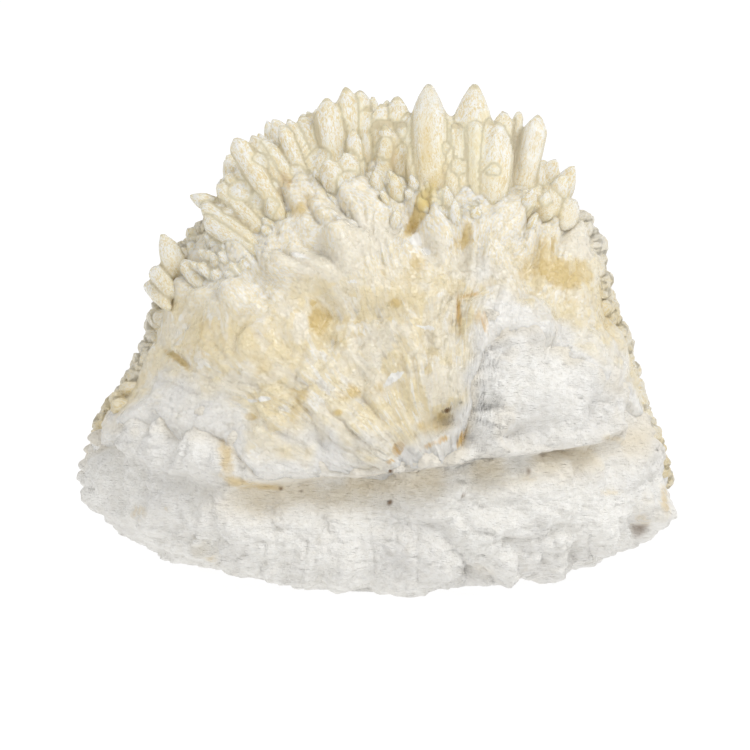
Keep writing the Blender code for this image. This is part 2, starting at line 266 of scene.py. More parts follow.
# Each tint's patches: across, down, half width and height, then tilt, strength and push unless they are usual
PATCH_ROWS = {
    # Pockets and streaks in the broken calcite
    Tint.AMBER: (
        (322, 322, 10, 20, 12, 0.8, -0.5), (421, 208, 7, 36, -30, 1.0, -1.2),
        (463, 240, 10, 22, -25, 0.5, -0.4), (535, 262, 15, 30, -35, 0.5, -0.4),
        (560, 275, 34, 26, -20, 0.6), (178, 358, 4, 18, 52, 0.8, -0.8), (205, 335, 20, 30, 45, 0.35),
        (262, 350, 14, 34, 15, 0.35), (355, 392, 30, 9, 12, 0.45), (300, 405, 12, 26, 4, 0.45),
        (410, 275, 22, 20, 0, 0.4), (393, 303, 7, 5, 0, 0.7), (338, 411, 5, 4, 0, 0.7),
        (430, 425, 18, 12, 25, 0.5, -0.6), (253, 415, 6, 4, 0, 0.7), (110, 425, 20, 44, -25, 0.6),
        (664, 470, 9, 55, 0, 0.5), (612, 320, 20, 14, -35, 0.4), (395, 165, 10, 22, 0, 0.25),
        (425, 150, 7, 28, 0, 0.5), (300, 210, 16, 12, 30, 0.4), (440, 420, 14, 10, 20, 0.8, -0.3),
    ),
    # Milky lobes
    Tint.MILK: (
        (360, 240, 30, 24, 10, 1.0, 0.8), (320, 266, 42, 14, -4, 0.9, 0.5), (375, 345, 38, 26, 10, 0.6),
        (300, 330, 22, 30, 20, 0.5), (430, 250, 20, 12, -30, 0.7), (478, 268, 34, 16, -8, 0.7),
        (440, 385, 28, 22, 0, 0.7, 0.6), (230, 385, 50, 14, 12, 0.6), (370, 440, 40, 18, 6, 0.6, 0.5),
        (585, 235, 26, 28, -20, 0.8), (430, 100, 14, 22, 0, 0.5), (520, 150, 14, 40, -12, 0.5),
    ),
    # Painted highlights: small white glints on the broken calcite
    Tint.PAINTED_GLINT: (
        (415, 243, 8, 5, -40, 1.0), (425, 254, 7, 3, -20, 1.0), (352, 284, 7, 2, 0, 1.0),
        (438, 296, 4, 2, 0, 1.0), (424, 328, 12, 2, -8, 1.0), (395, 378, 16, 4, 35, 0.8),
        (262, 398, 20, 4, 5, 0.6), (300, 258, 14, 3, -10, 0.7),
    ),
    # Stains in cracks and along the ledge
    Tint.OCHRE: (
        (457, 315, 3, 22, 0, 0.7, -0.4), (468, 296, 13, 3, 12, 0.6, -0.4), (478, 322, 9, 16, 20, 0.4),
        (436, 440, 20, 4, 22, 0.6), (459, 437, 4, 12, -30, 0.8, -0.6), (397, 448, 12, 5, 50, 0.6, -0.5),
        (240, 478, 18, 6, -12, 0.95), (268, 484, 18, 3, -4, 0.95), (228, 455, 7, 18, 10, 0.95),
        (390, 460, 6, 3, 0, 0.6), (287, 185, 6, 9, -20, 0.6), (393, 163, 3, 10, 0, 0.35),
        (608, 438, 12, 4, -10, 0.45), (607, 491, 12, 4, 0, 0.45), (525, 475, 8, 5, 0, 0.3),
        (142, 512, 8, 6, 20, 0.45), (170, 505, 5, 3, 0, 0.4), (213, 556, 6, 4, -20, 0.5, -0.6),
        (662, 500, 5, 14, 0, 0.8), (175, 362, 5, 3, 40, 0.6), (640, 520, 8, 10, 30, 0.4),
    ),
    # The cavity, the pit and specks of dirt
    Tint.UMBER: (
        (446, 409, 6, 3, 15, 0.9, -0.3), (459, 434, 3, 4, 0, 0.6), (638, 529, 7, 6, 20, 0.7, -1.0),
        (283, 486, 2, 2, 0, 0.8), (390, 468, 2, 2, 0, 0.9), (390, 500, 2, 3, -30, 0.9),
        (461, 493, 2, 2, 0, 0.7), (525, 469, 2, 3, 0, 0.8), (540, 453, 3, 2, 0, 0.5),
        (303, 489, 1.6, 1.6, 0, 0.6),
    ),
}
PATCHES = tuple(Patch(tint, *row) for tint, rows in PATCH_ROWS.items() for row in rows)


@dataclass(frozen=True)
class StoneForm:
    """The stone's outer form, shared by all that covers it. Lengths are millimetres."""

    meridians: tuple = (
        ((0, 0), (27, 0), (36, 1.2), (44.5, 3.6), (48.2, 7.5), (49.5, 12.5), (48.4, 19), (46, 26),
         (43.4, 34), (40.8, 41), (38.5, 48.5), (37, 56), (32, 62), (19, 67.5), (0, 71)),
        ((0, 0), (25, 0), (32, 3), (38, 8), (40.5, 13), (41.5, 18), (41, 24), (40, 30),
         (38, 37), (35, 44), (31, 51), (26.5, 57.5), (20, 63.5), (11.5, 68.5), (0, 71)),
        ((0, 0), (22, 0), (29, 3), (33, 8), (35, 13), (35.5, 18), (35, 24), (33.5, 30),
         (31, 37), (28, 44), (24, 51), (19.5, 58), (14, 64), (8, 68.5), (0, 71)),
        ((0, 0), (23, 0), (30, 3), (36, 8), (39, 13), (40, 18), (39.5, 24), (37.5, 30),
         (34.5, 36.5), (31, 43), (27, 50), (22.5, 57), (16.5, 63.5), (9, 68.5), (0, 71)),
        ((0, 0), (21, 0), (30, 1.8), (40, 5.5), (47.5, 10), (50.2, 14.4), (49, 20), (46, 26),
         (41.5, 32.5), (38.2, 40), (35.8, 48), (31, 55), (22, 63), (11, 69), (0, 71)),
        ((0, 0), (24, 0), (31, 2), (37, 6), (41.5, 11), (43, 16), (42.8, 21), (42, 27),
         (40, 33), (37, 40), (34, 47.5), (29, 54.5), (22, 61.5), (12, 68), (0, 71)),
        ((0, 0), (27, 0), (31, 1.5), (33.5, 5), (34.2, 10), (33.5, 15), (33, 20), (35, 25),
         (34.5, 32), (32, 39.5), (28.5, 47), (24, 54), (18, 61.5), (11, 67.5), (0, 71)),
        ((0, 0), (27, 0), (35, 2), (41.5, 6), (45, 11), (46, 16), (46, 21.5), (45.5, 27),
         (44, 34), (41, 41), (37, 48.5), (32, 55), (24.5, 62), (13.5, 68), (0, 71)),
    )
    border: tuple = (
        (0, 11), (20, 9), (45, 11), (90, 14), (135, 15), (165, 18), (182, 20), (196, 25), (212, 31),
        (226, 29), (240, 24), (255, 22), (270, 22), (284, 24), (291, 27), (299, 47), (309, 48),
        (322, 41), (336, 33), (350, 22),
    )
    ledge: tuple = ((-26, 19.6), (-15, 20.2), (-1, 21.0), (14, 23.6), (25, 25.0), (37, 25.8), (43, 27.0))
    ledge_depth: float = 4.6
    ledge_lip: float = 1.3
    foot_height: float = 2.5
    swells: tuple[Swell, ...] = (
        Swell(-35.0, 24.5, 9.0, 5.0, -20, 2.6),
        Swell(-33.0, 18.6, 10.0, 1.8, -14, -2.2),
        Swell(-28.0, 13.0, 12.0, 4.5, -8, 1.3),
        Swell(-6.0, 6.0, 17.0, 4.5, 0, 1.6),
        Swell(22.5, 43.0, 8.0, 6.0, 8, 3.6),
        Swell(36.0, 38.0, 6.5, 5.0, -25, 2.4),
        Swell(30.0, 40.5, 2.2, 6.0, -15, -2.4),
        Swell(27.5, 33.0, 12.0, 4.5, 8, 2.0),
        Swell(26.0, 28.0, 12.0, 1.8, 8, -1.8),
        Swell(40.5, 17.5, 1.8, 6.5, -20, -2.0),
        Swell(44.5, 8.5, 2.0, 2.0, 0, -2.0),
        Swell(-2.5, 56.5, 6.0, 3.8, 0, 2.8),
        Swell(-5.0, 51.5, 11.0, 2.8, -6, 2.4),
        Swell(-2.5, 47.5, 10.0, 1.6, 4, -1.6),
        Swell(-9.0, 43.5, 1.9, 3.8, 8, -1.2),
        Swell(-25.0, 45.5, 12.0, 8.0, 20, 1.8),
        Swell(7.5, 60.0, 5.5, 1.4, -56, -2.6),
        Swell(15.0, 57.0, 2.2, 3.4, 20, -2.0),
        Swell(27.0, 52.5, 2.6, 4.6, 30, -2.4),
        Swell(13.2, 45.5, 1.0, 4.0, 5, -1.4),
        Swell(12.0, 30.5, 2.6, 1.8, 10, -2.8),
        Swell(-6.0, 29.5, 14.0, 5.0, 0, 1.4),
        Swell(6.0, 38.5, 7.0, 4.0, -10, 1.4),
    )

    @property
    def summit(self) -> float:
        """Height of the form's highest point."""
        return self.meridians[0][-1][1]

    def outline(self, direction: Array, level: Array) -> tuple[Array, Array]:
        """Radius and height: a smooth curve along each of eight meridians and another round them.

        Args:
            direction: Angles about the axis, in radians.
            level: Places along the meridians, in whole points and parts of them.

        Returns:
            Radii and heights.
        """
        table = np.array(self.meridians, float)
        turn = (np.degrees(direction) % 360.0) / (360.0 / len(table))
        column = np.floor(turn).astype(int)
        row = np.clip(np.floor(level).astype(int), 0, table.shape[1] - 2)
        rows = [np.clip(row + step, 0, table.shape[1] - 1) for step in (-1, 0, 1, 2)]
        along = (level - row)[:, None]
        curves = [
            blend_four(*(table[(column + step) % len(table), r] for r in rows), along)
            for step in (-1, 0, 1, 2)
        ]
        radius, height = blend_four(*curves, (turn - column)[:, None]).T
        return np.maximum(radius, 0.0), np.maximum(height, 0.0)

    def border_height(self, direction: Array) -> Array:
        """Height of the border between matrix and calcite: the mean of straight lines over a few degrees.

        Args:
            direction: Angles about the axis, in radians.

        Returns:
            A height for each.
        """
        degrees, heights = np.array(self.border, float).T
        steps = np.linspace(-3.5, 3.5, 8)
        turn = (np.degrees(direction)[..., None] + steps) % 360.0
        return np.interp(turn, degrees, heights, period=360.0).mean(axis=-1)

    def level_of(self, direction: Array, height: Array) -> Array:
        """Where along its meridian each direction reaches a height, by counting the steps below it.

        Args:
            direction: Angles about the axis, in radians.
            height: A height for each.

        Returns:
            A level for each.
        """
        levels = np.linspace(1.0, 14.0, 261)
        grid_direction, grid_level = np.meshgrid(direction, levels)
        heights = self.outline(grid_direction.ravel(), grid_level.ravel())[1].reshape(grid_level.shape)
        return levels[np.clip((heights < height[None]).sum(axis=0), 0, len(levels) - 1)]

    @staticmethod
    def front(points: Array) -> Array:
        """1 on the front of the stone and 0 on its back."""
        return ease(-points[:, 1] / 9.0 - 0.2)

    def undercut(self, points: Array) -> Array:
        """Points moved in under the ledge, steeply below its line and easing out, and out along its lip.

        Args:
            points: Places in millimetres.

        Returns:
            The moved places.
        """
        xs, heights = np.array(self.ledge, float).T
        below = np.interp(points[:, 0], xs, heights) - points[:, 2]
        span = ease((points[:, 0] - xs[0]) / 5.0) * ease((xs[-1] - points[:, 0]) / 4.0)
        hollow = -self.ledge_depth * ease(below / 1.6) * np.exp(-((below / 8.5) ** 2))
        lip = self.ledge_lip * np.exp(-(((below + 1.2) / 2.6) ** 2))
        push = (hollow + lip) * span * self.front(points)
        radius = np.linalg.norm(points[:, :2], axis=1)[:, None] + 1e-9
        points = points.copy()
        points[:, :2] += points[:, :2] / radius * push[:, None]
        return points

    def swollen(self, points: Array) -> Array:
        """Points pushed away from the growth centre by the sum of the swells' bell-shaped humps.

        Args:
            points: Places in millimetres.

        Returns:
            The pushed places.
        """
        push = np.zeros(len(points))
        for swell in self.swells:
            push += swell.push * np.exp(-squared_reach(points[:, 0] - swell.x, points[:, 2] - swell.z, swell))
        return points + unit(points - GROWTH_CENTRE) * (push * self.front(points))[:, None]

    def surface(self, direction: Array, level: Array) -> Array:
        """Points of the form: the outline with its undercut, broad lumps of noise, and swells.

        Args:
            direction: Angles about the axis, in radians.
            level: Places along the meridians.

        Returns:
            Places in millimetres.
        """
        radius, height = self.outline(direction, level)
        points = np.column_stack([radius * np.cos(direction), radius * np.sin(direction), height])
        points = self.undercut(points)
        lumps = 0.9 * noise(points, 15.0, 3) + 0.45 * noise(points, 6.5, 5)
        points += unit(points - GROWTH_CENTRE) * (lumps * ease(height / self.foot_height - 0.4))[:, None]
        return self.swollen(points)

    def normals(self, direction: Array, level: Array) -> Array:
        """Outward normals: the cross product of steps along and round the surface.

        Args:
            direction: Angles about the axis, in radians.
            level: Places along the meridians.

        Returns:
            A vector of length 1 for each.
        """
        here = self.surface(direction, level)
        round_step = self.surface(direction + 0.02, level) - here
        up_step = self.surface(direction, np.minimum(level + 0.05, 13.99)) - here
        return unit(np.cross(round_step, up_step))


FORM = StoneForm()


def tint_of(points: Array, tint: Tint) -> Array:
    """How much of a tint lies on each point: the largest of its patches' humps, their edges frayed by noise.

    Args:
        points: Places in millimetres.
        tint: Which tint.

    Returns:
        Shares from 0 to 1.
    """
    seen = sight(points)
    fray = np.column_stack([noise(points, 2.6, 41) + 0.5 * noise(points, 1.1, 43),
                            noise(points, 2.6, 42) + 0.5 * noise(points, 1.1, 44)])
    share = np.zeros(len(points))
    for patch in PATCHES:
        if patch.tint is not tint:
            continue
        moved = seen + fray * min(patch.half_width, patch.half_height) * 0.55
        squared = squared_reach(moved[:, 0] - patch.across, patch.down - moved[:, 1], patch)
        share = np.maximum(share, patch.strength * np.exp(-(squared**1.5) * 0.8))
    return share * FORM.front(points - [0.0, 8.0, 0.0])


def patch_push(points: Array) -> Array:
    """How far the patches raise or sink the surface: the sum of their flat-topped humps.

    Args:
        points: Places in millimetres.

    Returns:
        Heights in millimetres.
    """
    seen = sight(points)
    push = np.zeros(len(points))
    for patch in PATCHES:
        if patch.push:
            squared = squared_reach(seen[:, 0] - patch.across, patch.down - seen[:, 1], patch)
            push += patch.push * np.exp(-(squared**1.5))
    return push * FORM.front(points)


def crowded_columns(count: int) -> Array:
    """Directions of a grid's columns: even steps, less a sine that crowds them towards the front."""
    share = np.arange(count) / count
    return 2.0 * math.pi * share - 0.5 * np.sin(2.0 * math.pi * (share - 0.75))


def border_line(direction: Array) -> Array:
    """The border's height with noise of two sizes, which runs in a ring so that it closes."""
    ring = np.column_stack([np.cos(direction), np.sin(direction), direction * 0.0]) * 40.0
    return FORM.border_height(direction) + 1.8 * noise(ring, 8.0, 81) + 1.0 * noise(ring, 3.5, 82)


def tube_faces(rings: int, sides: int) -> Faces:
    """Triangles of a stack of rings with a point past each end.

    Args:
        rings: Number of rings.
        sides: Points in a ring.

    Returns:
        Three point numbers for each face. The first end's point comes after the rings, then the last end's.
    """
    ring, side = np.meshgrid(np.arange(rings - 1), np.arange(sides), indexing="ij")
    a = (ring * sides + side).ravel()
    b = (ring * sides + (side + 1) % sides).ravel()
    here, on = np.arange(sides), (np.arange(sides) + 1) % sides
    first, top = np.full(sides, rings * sides), (rings - 1) * sides
    return np.vstack([
        np.column_stack([a, b, b + sides]),
        np.column_stack([a, b + sides, a + sides]),
        np.column_stack([first, on, here]),
        np.column_stack([first + 1, top + here, top + on]),
    ])


def make_piece(
    name: str, points: Array, faces: Faces, marks: dict[str, Array], crease: float = 180.0
) -> bpy.types.Object:
    """An object from points in millimetres.

    Args:
        name: The piece's name.
        points: Places in millimetres.
        faces: Three point numbers for each face.
        marks: A number or a vector per point for each named attribute.
        crease: Angle in degrees above which an edge stays sharp.

    Returns:
        The linked object, at the origin.
    """
    mesh = bpy.data.meshes.new(name)
    mesh.vertices.add(len(points))
    mesh.vertices.foreach_set("co", ((points - BOX_CENTRE) * MM).astype(np.float32).ravel())
    mesh.loops.add(faces.size)
    mesh.loops.foreach_set("vertex_index", faces.astype(np.int32).ravel())
    mesh.polygons.add(len(faces))
    mesh.polygons.foreach_set("loop_start", np.arange(0, faces.size, 3, dtype=np.int32))
    mesh.update(calc_edges=True)
    mesh.validate()
    for mark, values in marks.items():
        kind, key = ("FLOAT_VECTOR", "vector") if values.ndim == 2 else ("FLOAT", "value")
        mesh.attributes.new(mark, kind, "POINT").data.foreach_set(key, values.astype(np.float32).ravel())
    mesh.shade_smooth()
    if crease < 180.0:
        mesh.set_sharp_from_angle(angle=math.radians(crease))
    piece = bpy.data.objects.new(name, mesh)
    bpy.context.scene.collection.objects.link(piece)
    return piece


def front_marks(points: Array) -> dict[str, Array]:
    """The tints of the front as marks, one for each."""
    return {tint.value: tint_of(points, tint) for tint in Tint}


class Wire:
    """A node's output, on which Python's operators add Math nodes."""

    def __init__(self, graph: "Graph", socket: bpy.types.NodeSocket) -> None:
        """Keeps the socket and the graph it is in."""
        self.graph = graph
        self.socket = socket

    def __add__(self, other: "Wire | float") -> "Wire":
        """This plus other."""
        return self.graph.sum("ADD", self, other)

    def __sub__(self, other: "Wire | float") -> "Wire":
        """This less other."""
        return self.graph.sum("SUBTRACT", self, other)

    def __rsub__(self, other: float) -> "Wire":
        """Other less this."""
        return self.graph.sum("SUBTRACT", other, self)

    def __mul__(self, other: "Wire | float") -> "Wire":
        """This times other."""
        return self.graph.sum("MULTIPLY", self, other)

    __radd__ = __add__
    __rmul__ = __mul__


class Graph:
    """A material's nodes."""

    def __init__(self, name: str) -> None:
        """Starts an empty material.

        Args:
            name: The material's name.
        """
        self.material = bpy.data.materials.new(name)
        self.material.use_nodes = True
        self.tree = self.material.node_tree
        self.tree.nodes.clear()

    def add(self, kind: str, settings: dict, inputs: dict, output: str | int = 0) -> Wire:
        """Adds a node.

        Args:
            kind: The node's type.
            settings: Its properties, set first.
            inputs: A value or a wire for each socket, by name or number.
            output: Which output is wanted.

        Returns:
            That output.
        """
        node = self.tree.nodes.new(kind)
        for key, value in settings.items():
            setattr(node, key, value)
        for key, value in inputs.items():
            if isinstance(value, Wire):
                self.tree.links.new(value.socket, node.inputs[key])
            else:
                node.inputs[key].default_value = value
        return Wire(self, node.outputs[output]) if len(node.outputs) else Wire(self, None)

    def sum(self, operation: str, first: Wire | float, second: Wire | float) -> Wire:
        """A Math node."""
        return self.add("ShaderNodeMath", {"operation": operation}, {0: first, 1: second})

    def mark(self, name: str, output: str = "Fac") -> Wire:
        """A named attribute of the piece."""
        return self.add("ShaderNodeAttribute", {"attribute_name": name}, {}, output)

    def cells(self, place: Wire, size: float) -> Wire:
        """A random grey for each cell of a mosaic of that size."""
        colour = self.add("ShaderNodeTexVoronoi", {}, {"Vector": place, "Scale": 1.0 / size}, "Color")
        return self.add("ShaderNodeSeparateColor", {}, {"Color": colour})

    def facets(self, place: Wire, size: float) -> Wire:
        """Heights of flat chips: the way from a cell's middle, dotted with the cell's random direction.

        Args:
            place: Where, as a vector.
            size: Width of a chip, in the place's unit.

        Returns:
            The height.
        """
        colour = self.add("ShaderNodeTexVoronoi", {}, {"Vector": place, "Scale": 1.0 / size}, "Color")
        middle = Wire(self, colour.socket.node.outputs["Position"])
        away = self.add("ShaderNodeVectorMath", {"operation": "SUBTRACT"}, {0: place, 1: middle})
        lean = self.add("ShaderNodeVectorMath", {"operation": "SUBTRACT"}, {0: colour, 1: (0.5, 0.5, 0.5)})
        return self.add("ShaderNodeVectorMath", {"operation": "DOT_PRODUCT"}, {0: away, 1: lean}, 1)

    def place(self) -> Wire:
        """Object coordinates."""
        return self.add("ShaderNodeTexCoord", {}, {}, "Object")

    def mottle(self, place: Wire, size: float, detail: float = 3.0, seed: float = 0.0) -> Wire:
        """Noise from 0 to 1 whose largest features are about size metres wide."""
        moved = self.add("ShaderNodeVectorMath", {"operation": "ADD"}, {0: place, 1: (seed, seed, seed)})
        return self.cloud(moved, 1.0 / size, detail)

    def cloud(self, place: Wire, scale: float, detail: float, **more: float) -> Wire:
        """Noise from 0 to 1 of that scale."""
        inputs = {"Vector": place, "Scale": scale, "Detail": detail, **more}
        return self.add("ShaderNodeTexNoise", {}, inputs, 0)

    def ramp(self, value: Wire, low: float, high: float) -> Wire:
        """Value mapped smoothly so that low gives 0 and high gives 1.

        Args:
            value: What is mapped.
            low: What gives 0.
            high: What gives 1.

        Returns:
            A share from 0 to 1.
        """
        return self.add(
            "ShaderNodeMapRange",
            {"interpolation_type": "SMOOTHSTEP", "clamp": True},
            {"Value": value, "From Min": low, "From Max": high},
        )

    def blend(self, share: Wire | float, first: Wire | Colour, second: Wire | Colour) -> Wire:
        """A Mix node on colours."""
        ends = [colour if isinstance(colour, Wire) else (*colour, 1.0) for colour in (first, second)]
        return self.add("ShaderNodeMix", {"data_type": "RGBA"}, {0: share, 6: ends[0], 7: ends[1]}, 2)

    def bump(self, height: Wire, depth: float, under: Wire | None = None) -> Wire:
        """A Bump node of that depth in metres, on top of another.

        Args:
            height: How high the surface is.
            depth: What a height of 1 measures, in metres.
            under: The normal that it adds to.

        Returns:
            The normal.
        """
        inputs = {"Height": height, "Distance": depth, "Strength": 1.0}
        if under is not None:
            inputs["Normal"] = under
        return self.add("ShaderNodeBump", {}, inputs)

    def principled(self, inputs: dict) -> Wire:
        """A Principled shader."""
        return self.add("ShaderNodeBsdfPrincipled", {}, inputs)

    def finish(self, surface: Wire, volume: Wire | None = None) -> bpy.types.Material:
        """Joins the shader to the output.

        Args:
            surface: The shader of the surface.
            volume: The shader of the inside.

        Returns:
            The material.
        """
        inputs = {"Surface": surface}
        if volume is not None:
            inputs["Volume"] = volume
        self.add("ShaderNodeOutputMaterial", {}, inputs)
        return self.material


@dataclass(frozen=True)
class ChalkFinish:
    """Matt white crust: chalk with faint clouds, honey near the border, painted shade under the ledge, ochre
    and umber stains, and a fine felted grain.
    """

    white: Colour = (0.925, 0.91, 0.87)
    grey: Colour = (0.84, 0.825, 0.795)
    shade: Colour = (0.70, 0.66, 0.58)
    honey: Colour = (0.79, 0.70, 0.53)
    ochre: Colour = (0.74, 0.60, 0.36)
    umber: Colour = (0.20, 0.12, 0.06)
    scatter: float = 0.12

    def build(self) -> bpy.types.Material:
        """The material.

        Returns:
            What the piece is dressed in.
        """
        g = Graph("chalk")
        place = g.place()
        cloud = g.mottle(place, 0.011, 4.0)
        grain = g.mottle(place, 0.0011, 4.0, 3.0)
        felt = {"Vector": place, "Rotation": (0.0, 0.5, 0.0), "Scale": (1.0, 1.0, 3.2)}
        felted = g.mottle(g.add("ShaderNodeMapping", {}, felt), 0.0009, 2.0, 5.0)
        colour = g.blend(g.ramp(cloud, 0.35, 0.7), self.white, self.grey)
        colour = g.blend(g.ramp(grain, 0.62, 0.38) * 0.22, colour, self.shade)
        faint = g.ramp(g.mottle(place, 0.007, 3.0, 9.0), 0.60, 0.74) * 0.22
        colour = g.blend(faint, colour, self.honey)
        # The honey mark: honey near the border, and painted shade under the ledge
        colour = g.blend(g.mark("honey"), colour, self.honey)
        stain = g.mark("ochre")
        colour = g.blend(stain * g.ramp(grain + stain * 0.3, 0.42, 0.72), colour, self.ochre)
        colour = g.blend(g.mark("umber"), colour, self.umber)
        normal = g.bump(g.cloud(place, 260.0, 7.0, Roughness=0.68), 0.0009)
        normal = g.bump(grain, 0.0003, normal)
        normal = g.bump(felted, 0.0004, normal)
        return g.finish(g.principled({
            "Base Color": colour,
            "Roughness": 0.92,
            "Normal": normal,
            "Subsurface Weight": self.scatter,
            "Subsurface Radius": (1.0, 1.0, 1.0),
            "Subsurface Scale": 0.0008,
            "Specular IOR Level": 0.25,
        }))


@dataclass(frozen=True)
class CalciteFinish:
    """Broken, milky honey calcite: light sinks in, fibres glint, pockets show amber, and a few white glints
    are painted on.
    """

    cream: Colour = (0.83, 0.745, 0.545)
    honey: Colour = (0.785, 0.67, 0.415)
    milk: Colour = (0.81, 0.755, 0.63)
    white: Colour = (0.87, 0.85, 0.80)
    amber: Colour = (0.68, 0.53, 0.25)
    chalk: Colour = (0.82, 0.80, 0.755)
    ochre: Colour = (0.66, 0.44, 0.16)
    umber: Colour = (0.22, 0.13, 0.06)

    def build(self) -> bpy.types.Material:
        """The material.

        Returns:
            What the piece is dressed in.
        """
        g = Graph("broken_calcite")
        place = g.place()
        cloud = g.mottle(place, 0.012, 4.0)
        small = g.mottle(place, 0.0028, 4.0, 2.0)
        grain = g.mark("grain", "Vector")
        fibre = g.cloud(grain, 1.0, 4.0, Roughness=0.65)
        shard = g.cells(grain, 1.3)
        chip = g.cells(grain, 0.55)
        sugar = g.mottle(place, 0.0008, 3.0, 7.0)
        rough = g.ramp(g.mottle(place, 0.008, 3.0, 4.0), 0.42, 0.60)
        colour = g.blend(g.ramp(cloud, 0.40, 0.58), self.cream, self.honey)
        lobes = g.mottle(place, 0.0065, 5.0, 12.0)
        colour = g.blend(g.ramp(lobes + (shard - 0.5) * 0.05, 0.48, 0.54) * 0.6, colour, self.milk)
        colour = g.blend(g.ramp(small, 0.46, 0.62) * 0.2, colour, self.milk)
        colour = g.blend(g.ramp(fibre, 0.5, 0.66) * 0.3, colour, self.milk)
        colour = g.blend(g.ramp(shard + chip, 1.0, 1.7) * (rough * 0.6 + 0.15), colour, self.white)
        colour = g.blend(g.ramp(shard + chip, 0.8, 0.2) * (rough * 0.5 + 0.15), colour, self.honey)
        veins = g.cloud(grain, 3.2, 4.0, Distortion=1.0)
        veined = g.blend(g.ramp(veins, 0.44, 0.56), self.cream, self.white)
        colour = g.blend(g.mark("crown") * 0.8 + g.ramp(cloud, 0.5, 0.6) * 0.15, colour, veined)
        frayed = (shard - 0.5) * 0.25 + (fibre - 0.5) * 0.6
        colour = g.blend(g.ramp(g.mark("milk") + frayed * 0.6, 0.3, 0.55) * 0.8, colour, self.milk)
        colour = g.blend(g.ramp(g.mark("amber") + frayed, 0.18, 0.65), colour, self.amber)
        # Painted highlights: white glints on a few fractures, from their patches
        colour = g.blend(g.ramp(g.mark("painted_glint") + frayed, 0.4, 0.6), colour, self.white)
        colour = g.blend(g.mark("chalk"), colour, self.chalk)
        colour = g.blend(g.ramp(g.mark("ochre") + frayed, 0.25, 0.8), colour, self.ochre)
        colour = g.blend(g.ramp(g.mark("umber") + frayed, 0.35, 0.8), colour, self.umber)
        normal = g.bump(g.facets(grain, 2.4) + g.facets(grain, 0.9) * 0.6, 0.0003)
        normal = g.bump(g.facets(place, 0.0011) + g.facets(place, 0.0005), 0.42, normal)
        normal = g.bump(fibre * 0.7 + sugar * 0.6, 0.0003, normal)
        return g.finish(g.principled({
            "Base Color": colour,
            "Roughness": g.ramp(small, 0.2, 0.8) * 0.25 + 0.2,
            "Normal": normal,
            "Subsurface Weight": 0.45,
            "Subsurface Radius": (1.0, 0.95, 0.87),
            "Subsurface Scale": 0.0016,
            "IOR": 1.6,
        }))


@dataclass(frozen=True)
class CrystalFinish:
    """Honey calcite crystals: white veils inside, see-through tips and edges in partly painted honey shade,
    painted amber shade at the roots, painted glow in the creases.
    """

    name: str
    scatter: float
    white: Colour = (0.97, 0.95, 0.90)
    pale: Colour = (0.90, 0.82, 0.61)
    honey: Colour = (0.84, 0.74, 0.50)
    # Amber of pockets, also painted as shade towards the crystals' roots
    amber: Colour = (0.80, 0.63, 0.27)
    ochre: Colour = (0.68, 0.46, 0.18)
    # Painted light: warm glow for the creases between crystals
    glow: Colour = (0.95, 0.84, 0.58)
    milk: Colour = (0.87, 0.83, 0.74)
    vein: Colour = (0.80, 0.65, 0.35)
    glass: Colour = (0.99, 0.97, 0.92)
    clearness: float = 0.15
    absorbed: Colour = (0.97, 0.88, 0.60)
    density: float = 60.0

    def build(self) -> bpy.types.Material:
        """The material.

        Returns:
            What the piece is dressed in.
        """
        g = Graph(self.name)
        place = g.place()
        grain = g.mark("grain", "Vector")
        wrinkle = g.cloud(grain, 1.0, 4.0, Distortion=0.8)
        patchy = g.mottle(place, 0.004, 2.0, 1.0)
        rim = g.ramp(g.mark("rim") + (wrinkle - 0.5) * 0.5, 0.3, 0.9) * g.mark("clear")
        root = g.ramp(g.mark("root"), 0.75, 0.1)
        tone = g.mark("tone")
        thread = g.cloud(grain, 3.4, 3.0, Distortion=1.2)
        mixed = wrinkle * 0.4 + thread * 0.6
        # Pale to honey by tone and mottling, and towards honey at the roots as painted shade
        base = g.blend(g.ramp(tone + (patchy - 0.5) * 0.8 + root * 0.3, 0.15, 0.85), self.pale, self.honey)
        veil = g.ramp(mixed, 0.46, 0.55) * g.ramp(patchy + (1.0 - tone) * 0.25, 0.34, 0.54)
        colour = g.blend(veil * (1.0 - rim * 0.85), base, self.white)
        colour = g.blend(g.ramp(mixed, 0.48, 0.42) * 0.85, colour, self.vein)
        # Honey at the rim: partly the clear calcite's own tint, partly painted shade, the darker honey of
        # light's longer path through the edges
        colour = g.blend(rim * 0.6, colour, self.honey)
        # Painted light: a warm glow in the creases where crystals meet, standing in for light through the
        # calcite
        colour = g.blend(g.mark("crease") * 0.65, colour, self.glow)
        # Painted shade: darker amber towards the roots, where the columns meet
        colour = g.blend(g.ramp(wrinkle + root * 0.08, 0.50, 0.62) * root * 0.35, colour, self.amber)
        colour = g.blend(g.mark("amber") * 0.95, colour, self.amber)
        colour = g.blend(g.mark("milk") * 0.7, colour, self.milk)
        colour = g.blend(g.mark("ochre") * 0.8, colour, self.ochre)
        normal = g.bump(mixed, 0.0004)
        veiled = g.principled({
            "Base Color": colour,
            "Roughness": 0.12,
            "Normal": normal,
            "Subsurface Weight": self.scatter,
            "Subsurface Radius": (1.0, 0.98, 0.93),
            "Subsurface Scale": 0.0015,
            "IOR": 1.6,
        })
        clear = g.principled({
            "Base Color": (*self.glass, 1.0),
            "Roughness": 0.1,
            "Normal": normal,
            "Transmission Weight": 1.0,
            "IOR": 1.5,
        })
        surface = g.add("ShaderNodeMixShader", {}, {0: rim * self.clearness, 1: veiled, 2: clear})
        absorbed = {"Color": (*self.absorbed, 1.0), "Density": self.density}
        return g.finish(surface, g.add("ShaderNodeVolumeAbsorption", {}, absorbed))


